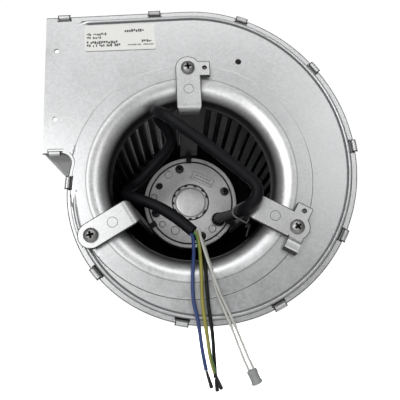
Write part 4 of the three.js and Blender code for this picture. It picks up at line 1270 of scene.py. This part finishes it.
def cable_tie():
    """The strap round the sleeve and the right bracket's leg."""
    angle = BRACKET_ANGLES["right"]
    around = [circle((41.1, -4.9), SLEEVE_D / 2 + 0.75, 40)]
    around += [circle((u, v), 0.9, 12) for v in (-ARM_HALF, ARM_HALF) for u in (46.2, 48.4)]
    loop = hull(np.concatenate(around))
    into = -inward(loop[::-1], True)[::-1]
    grid = swing(np.concatenate([at_depth(loop + into * grow, y) for grow, y in STRAP]), angle)
    piece("cable_tie_strap", [(grid, quads(len(STRAP), len(loop), True, True), tie_nylon)],
          "housing", ["cable_tie"])
    parts = []
    for block in (CATCH, LOOSE_END):
        points, faces = prism(*block)
        parts.append((swing(points, angle), faces, tie_dark))
    made = piece("cable_tie_catch", parts, "housing")
    add_bevel(made, 0.4, 40, 3)
    apply_modifiers(made)


cable_tie()


# ---- finishes of the CAD parts that stay ----
KEPT = [
    (zinc, ["bracket_nut_top", "bracket_nut_left", "bracket_nut_right"]),
    (steel, ["bearing_front", "bearing_rear", "motor_shaft", *(f"rotor_rivet_{i}" for i in (1, 2, 3, 4))]),
    (lamination, ["stator_core"]),
    (copper, ["winding_front", "winding_rear"]),
    (cage, ["rotor_ring"]),
]
for made, nodes in KEPT:
    for node in nodes:
        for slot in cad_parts[node].material_slots:
            slot.material = made.material


# ---- light and backdrop ----
FRONT_AMBIENT = 0.12


def backdrop():
    made = Nodes("backdrop", (0.95, 0.95, 0.95), 0.0, 0.9)
    mesh = bpy.data.meshes.new("floor")
    size, z = 12.0, -0.9
    corners = [(-size, -size, z), (size, -size, z), (size, size, z), (-size, size, z)]
    mesh.from_pydata(corners, [], [(0, 1, 2, 3)])
    mesh.materials.append(made.material)
    floor = bpy.data.objects.new("floor", mesh)
    bpy.context.scene.collection.objects.link(floor)
    world = bpy.data.worlds.new("studio")
    bpy.context.scene.world = world
    world.use_nodes = True
    tree = world.node_tree
    place = tree.nodes.new("ShaderNodeTexCoord")
    split = tree.nodes.new("ShaderNodeSeparateXYZ")
    fall = tree.nodes.new("ShaderNodeMapRange")
    for key, value in (("From Min", 0.45), ("From Max", 0.68), ("To Min", FRONT_AMBIENT), ("To Max", 1.02)):
        fall.inputs[key].default_value = value
    tree.links.new(place.outputs["Generated"], split.inputs["Vector"])
    tree.links.new(split.outputs["Y"], fall.inputs["Value"])
    tree.links.new(fall.outputs["Result"], tree.nodes["Background"].inputs["Strength"])
    tree.nodes["Background"].inputs["Color"].default_value = (1, 1, 1, 1)


def softbox(name, place, target, size, power, spread=180):
    light = bpy.data.lights.new(name, "AREA")
    light.shape = "RECTANGLE"
    light.size, light.size_y = size
    light.energy = power
    light.spread = math.radians(spread)
    made = bpy.data.objects.new(name, light)
    bpy.context.scene.collection.objects.link(made)
    made.location = place
    made.rotation_euler = (Vector(target) - Vector(place)).to_track_quat("-Z", "Y").to_euler()


backdrop()
TARGET = (0.104, -0.07, -0.07)
softbox("front", (-0.34, -1.2, 0.16), TARGET, (0.55, 0.5), 2.3)
softbox("left", (-0.6, -1.1, 0.0), TARGET, (0.35, 0.8), 2.8)
softbox("right", (0.66, -1.1, 0.32), TARGET, (0.3, 0.7), 1.55)
softbox("top", (0.05, -0.95, 0.8), TARGET, (1.0, 0.35), 2.6)
softbox("bottom", (0.05, -1.15, -0.55), TARGET, (0.8, 0.25), 1.3)
softbox("floor_light", (0.0, 8.0, 2.6), (0.0, 8.0, -0.9), (14.0, 9.0), 1400, 100)

scene = bpy.context.scene
scene.view_settings.view_transform = "Standard"
scene.view_settings.look = "None"
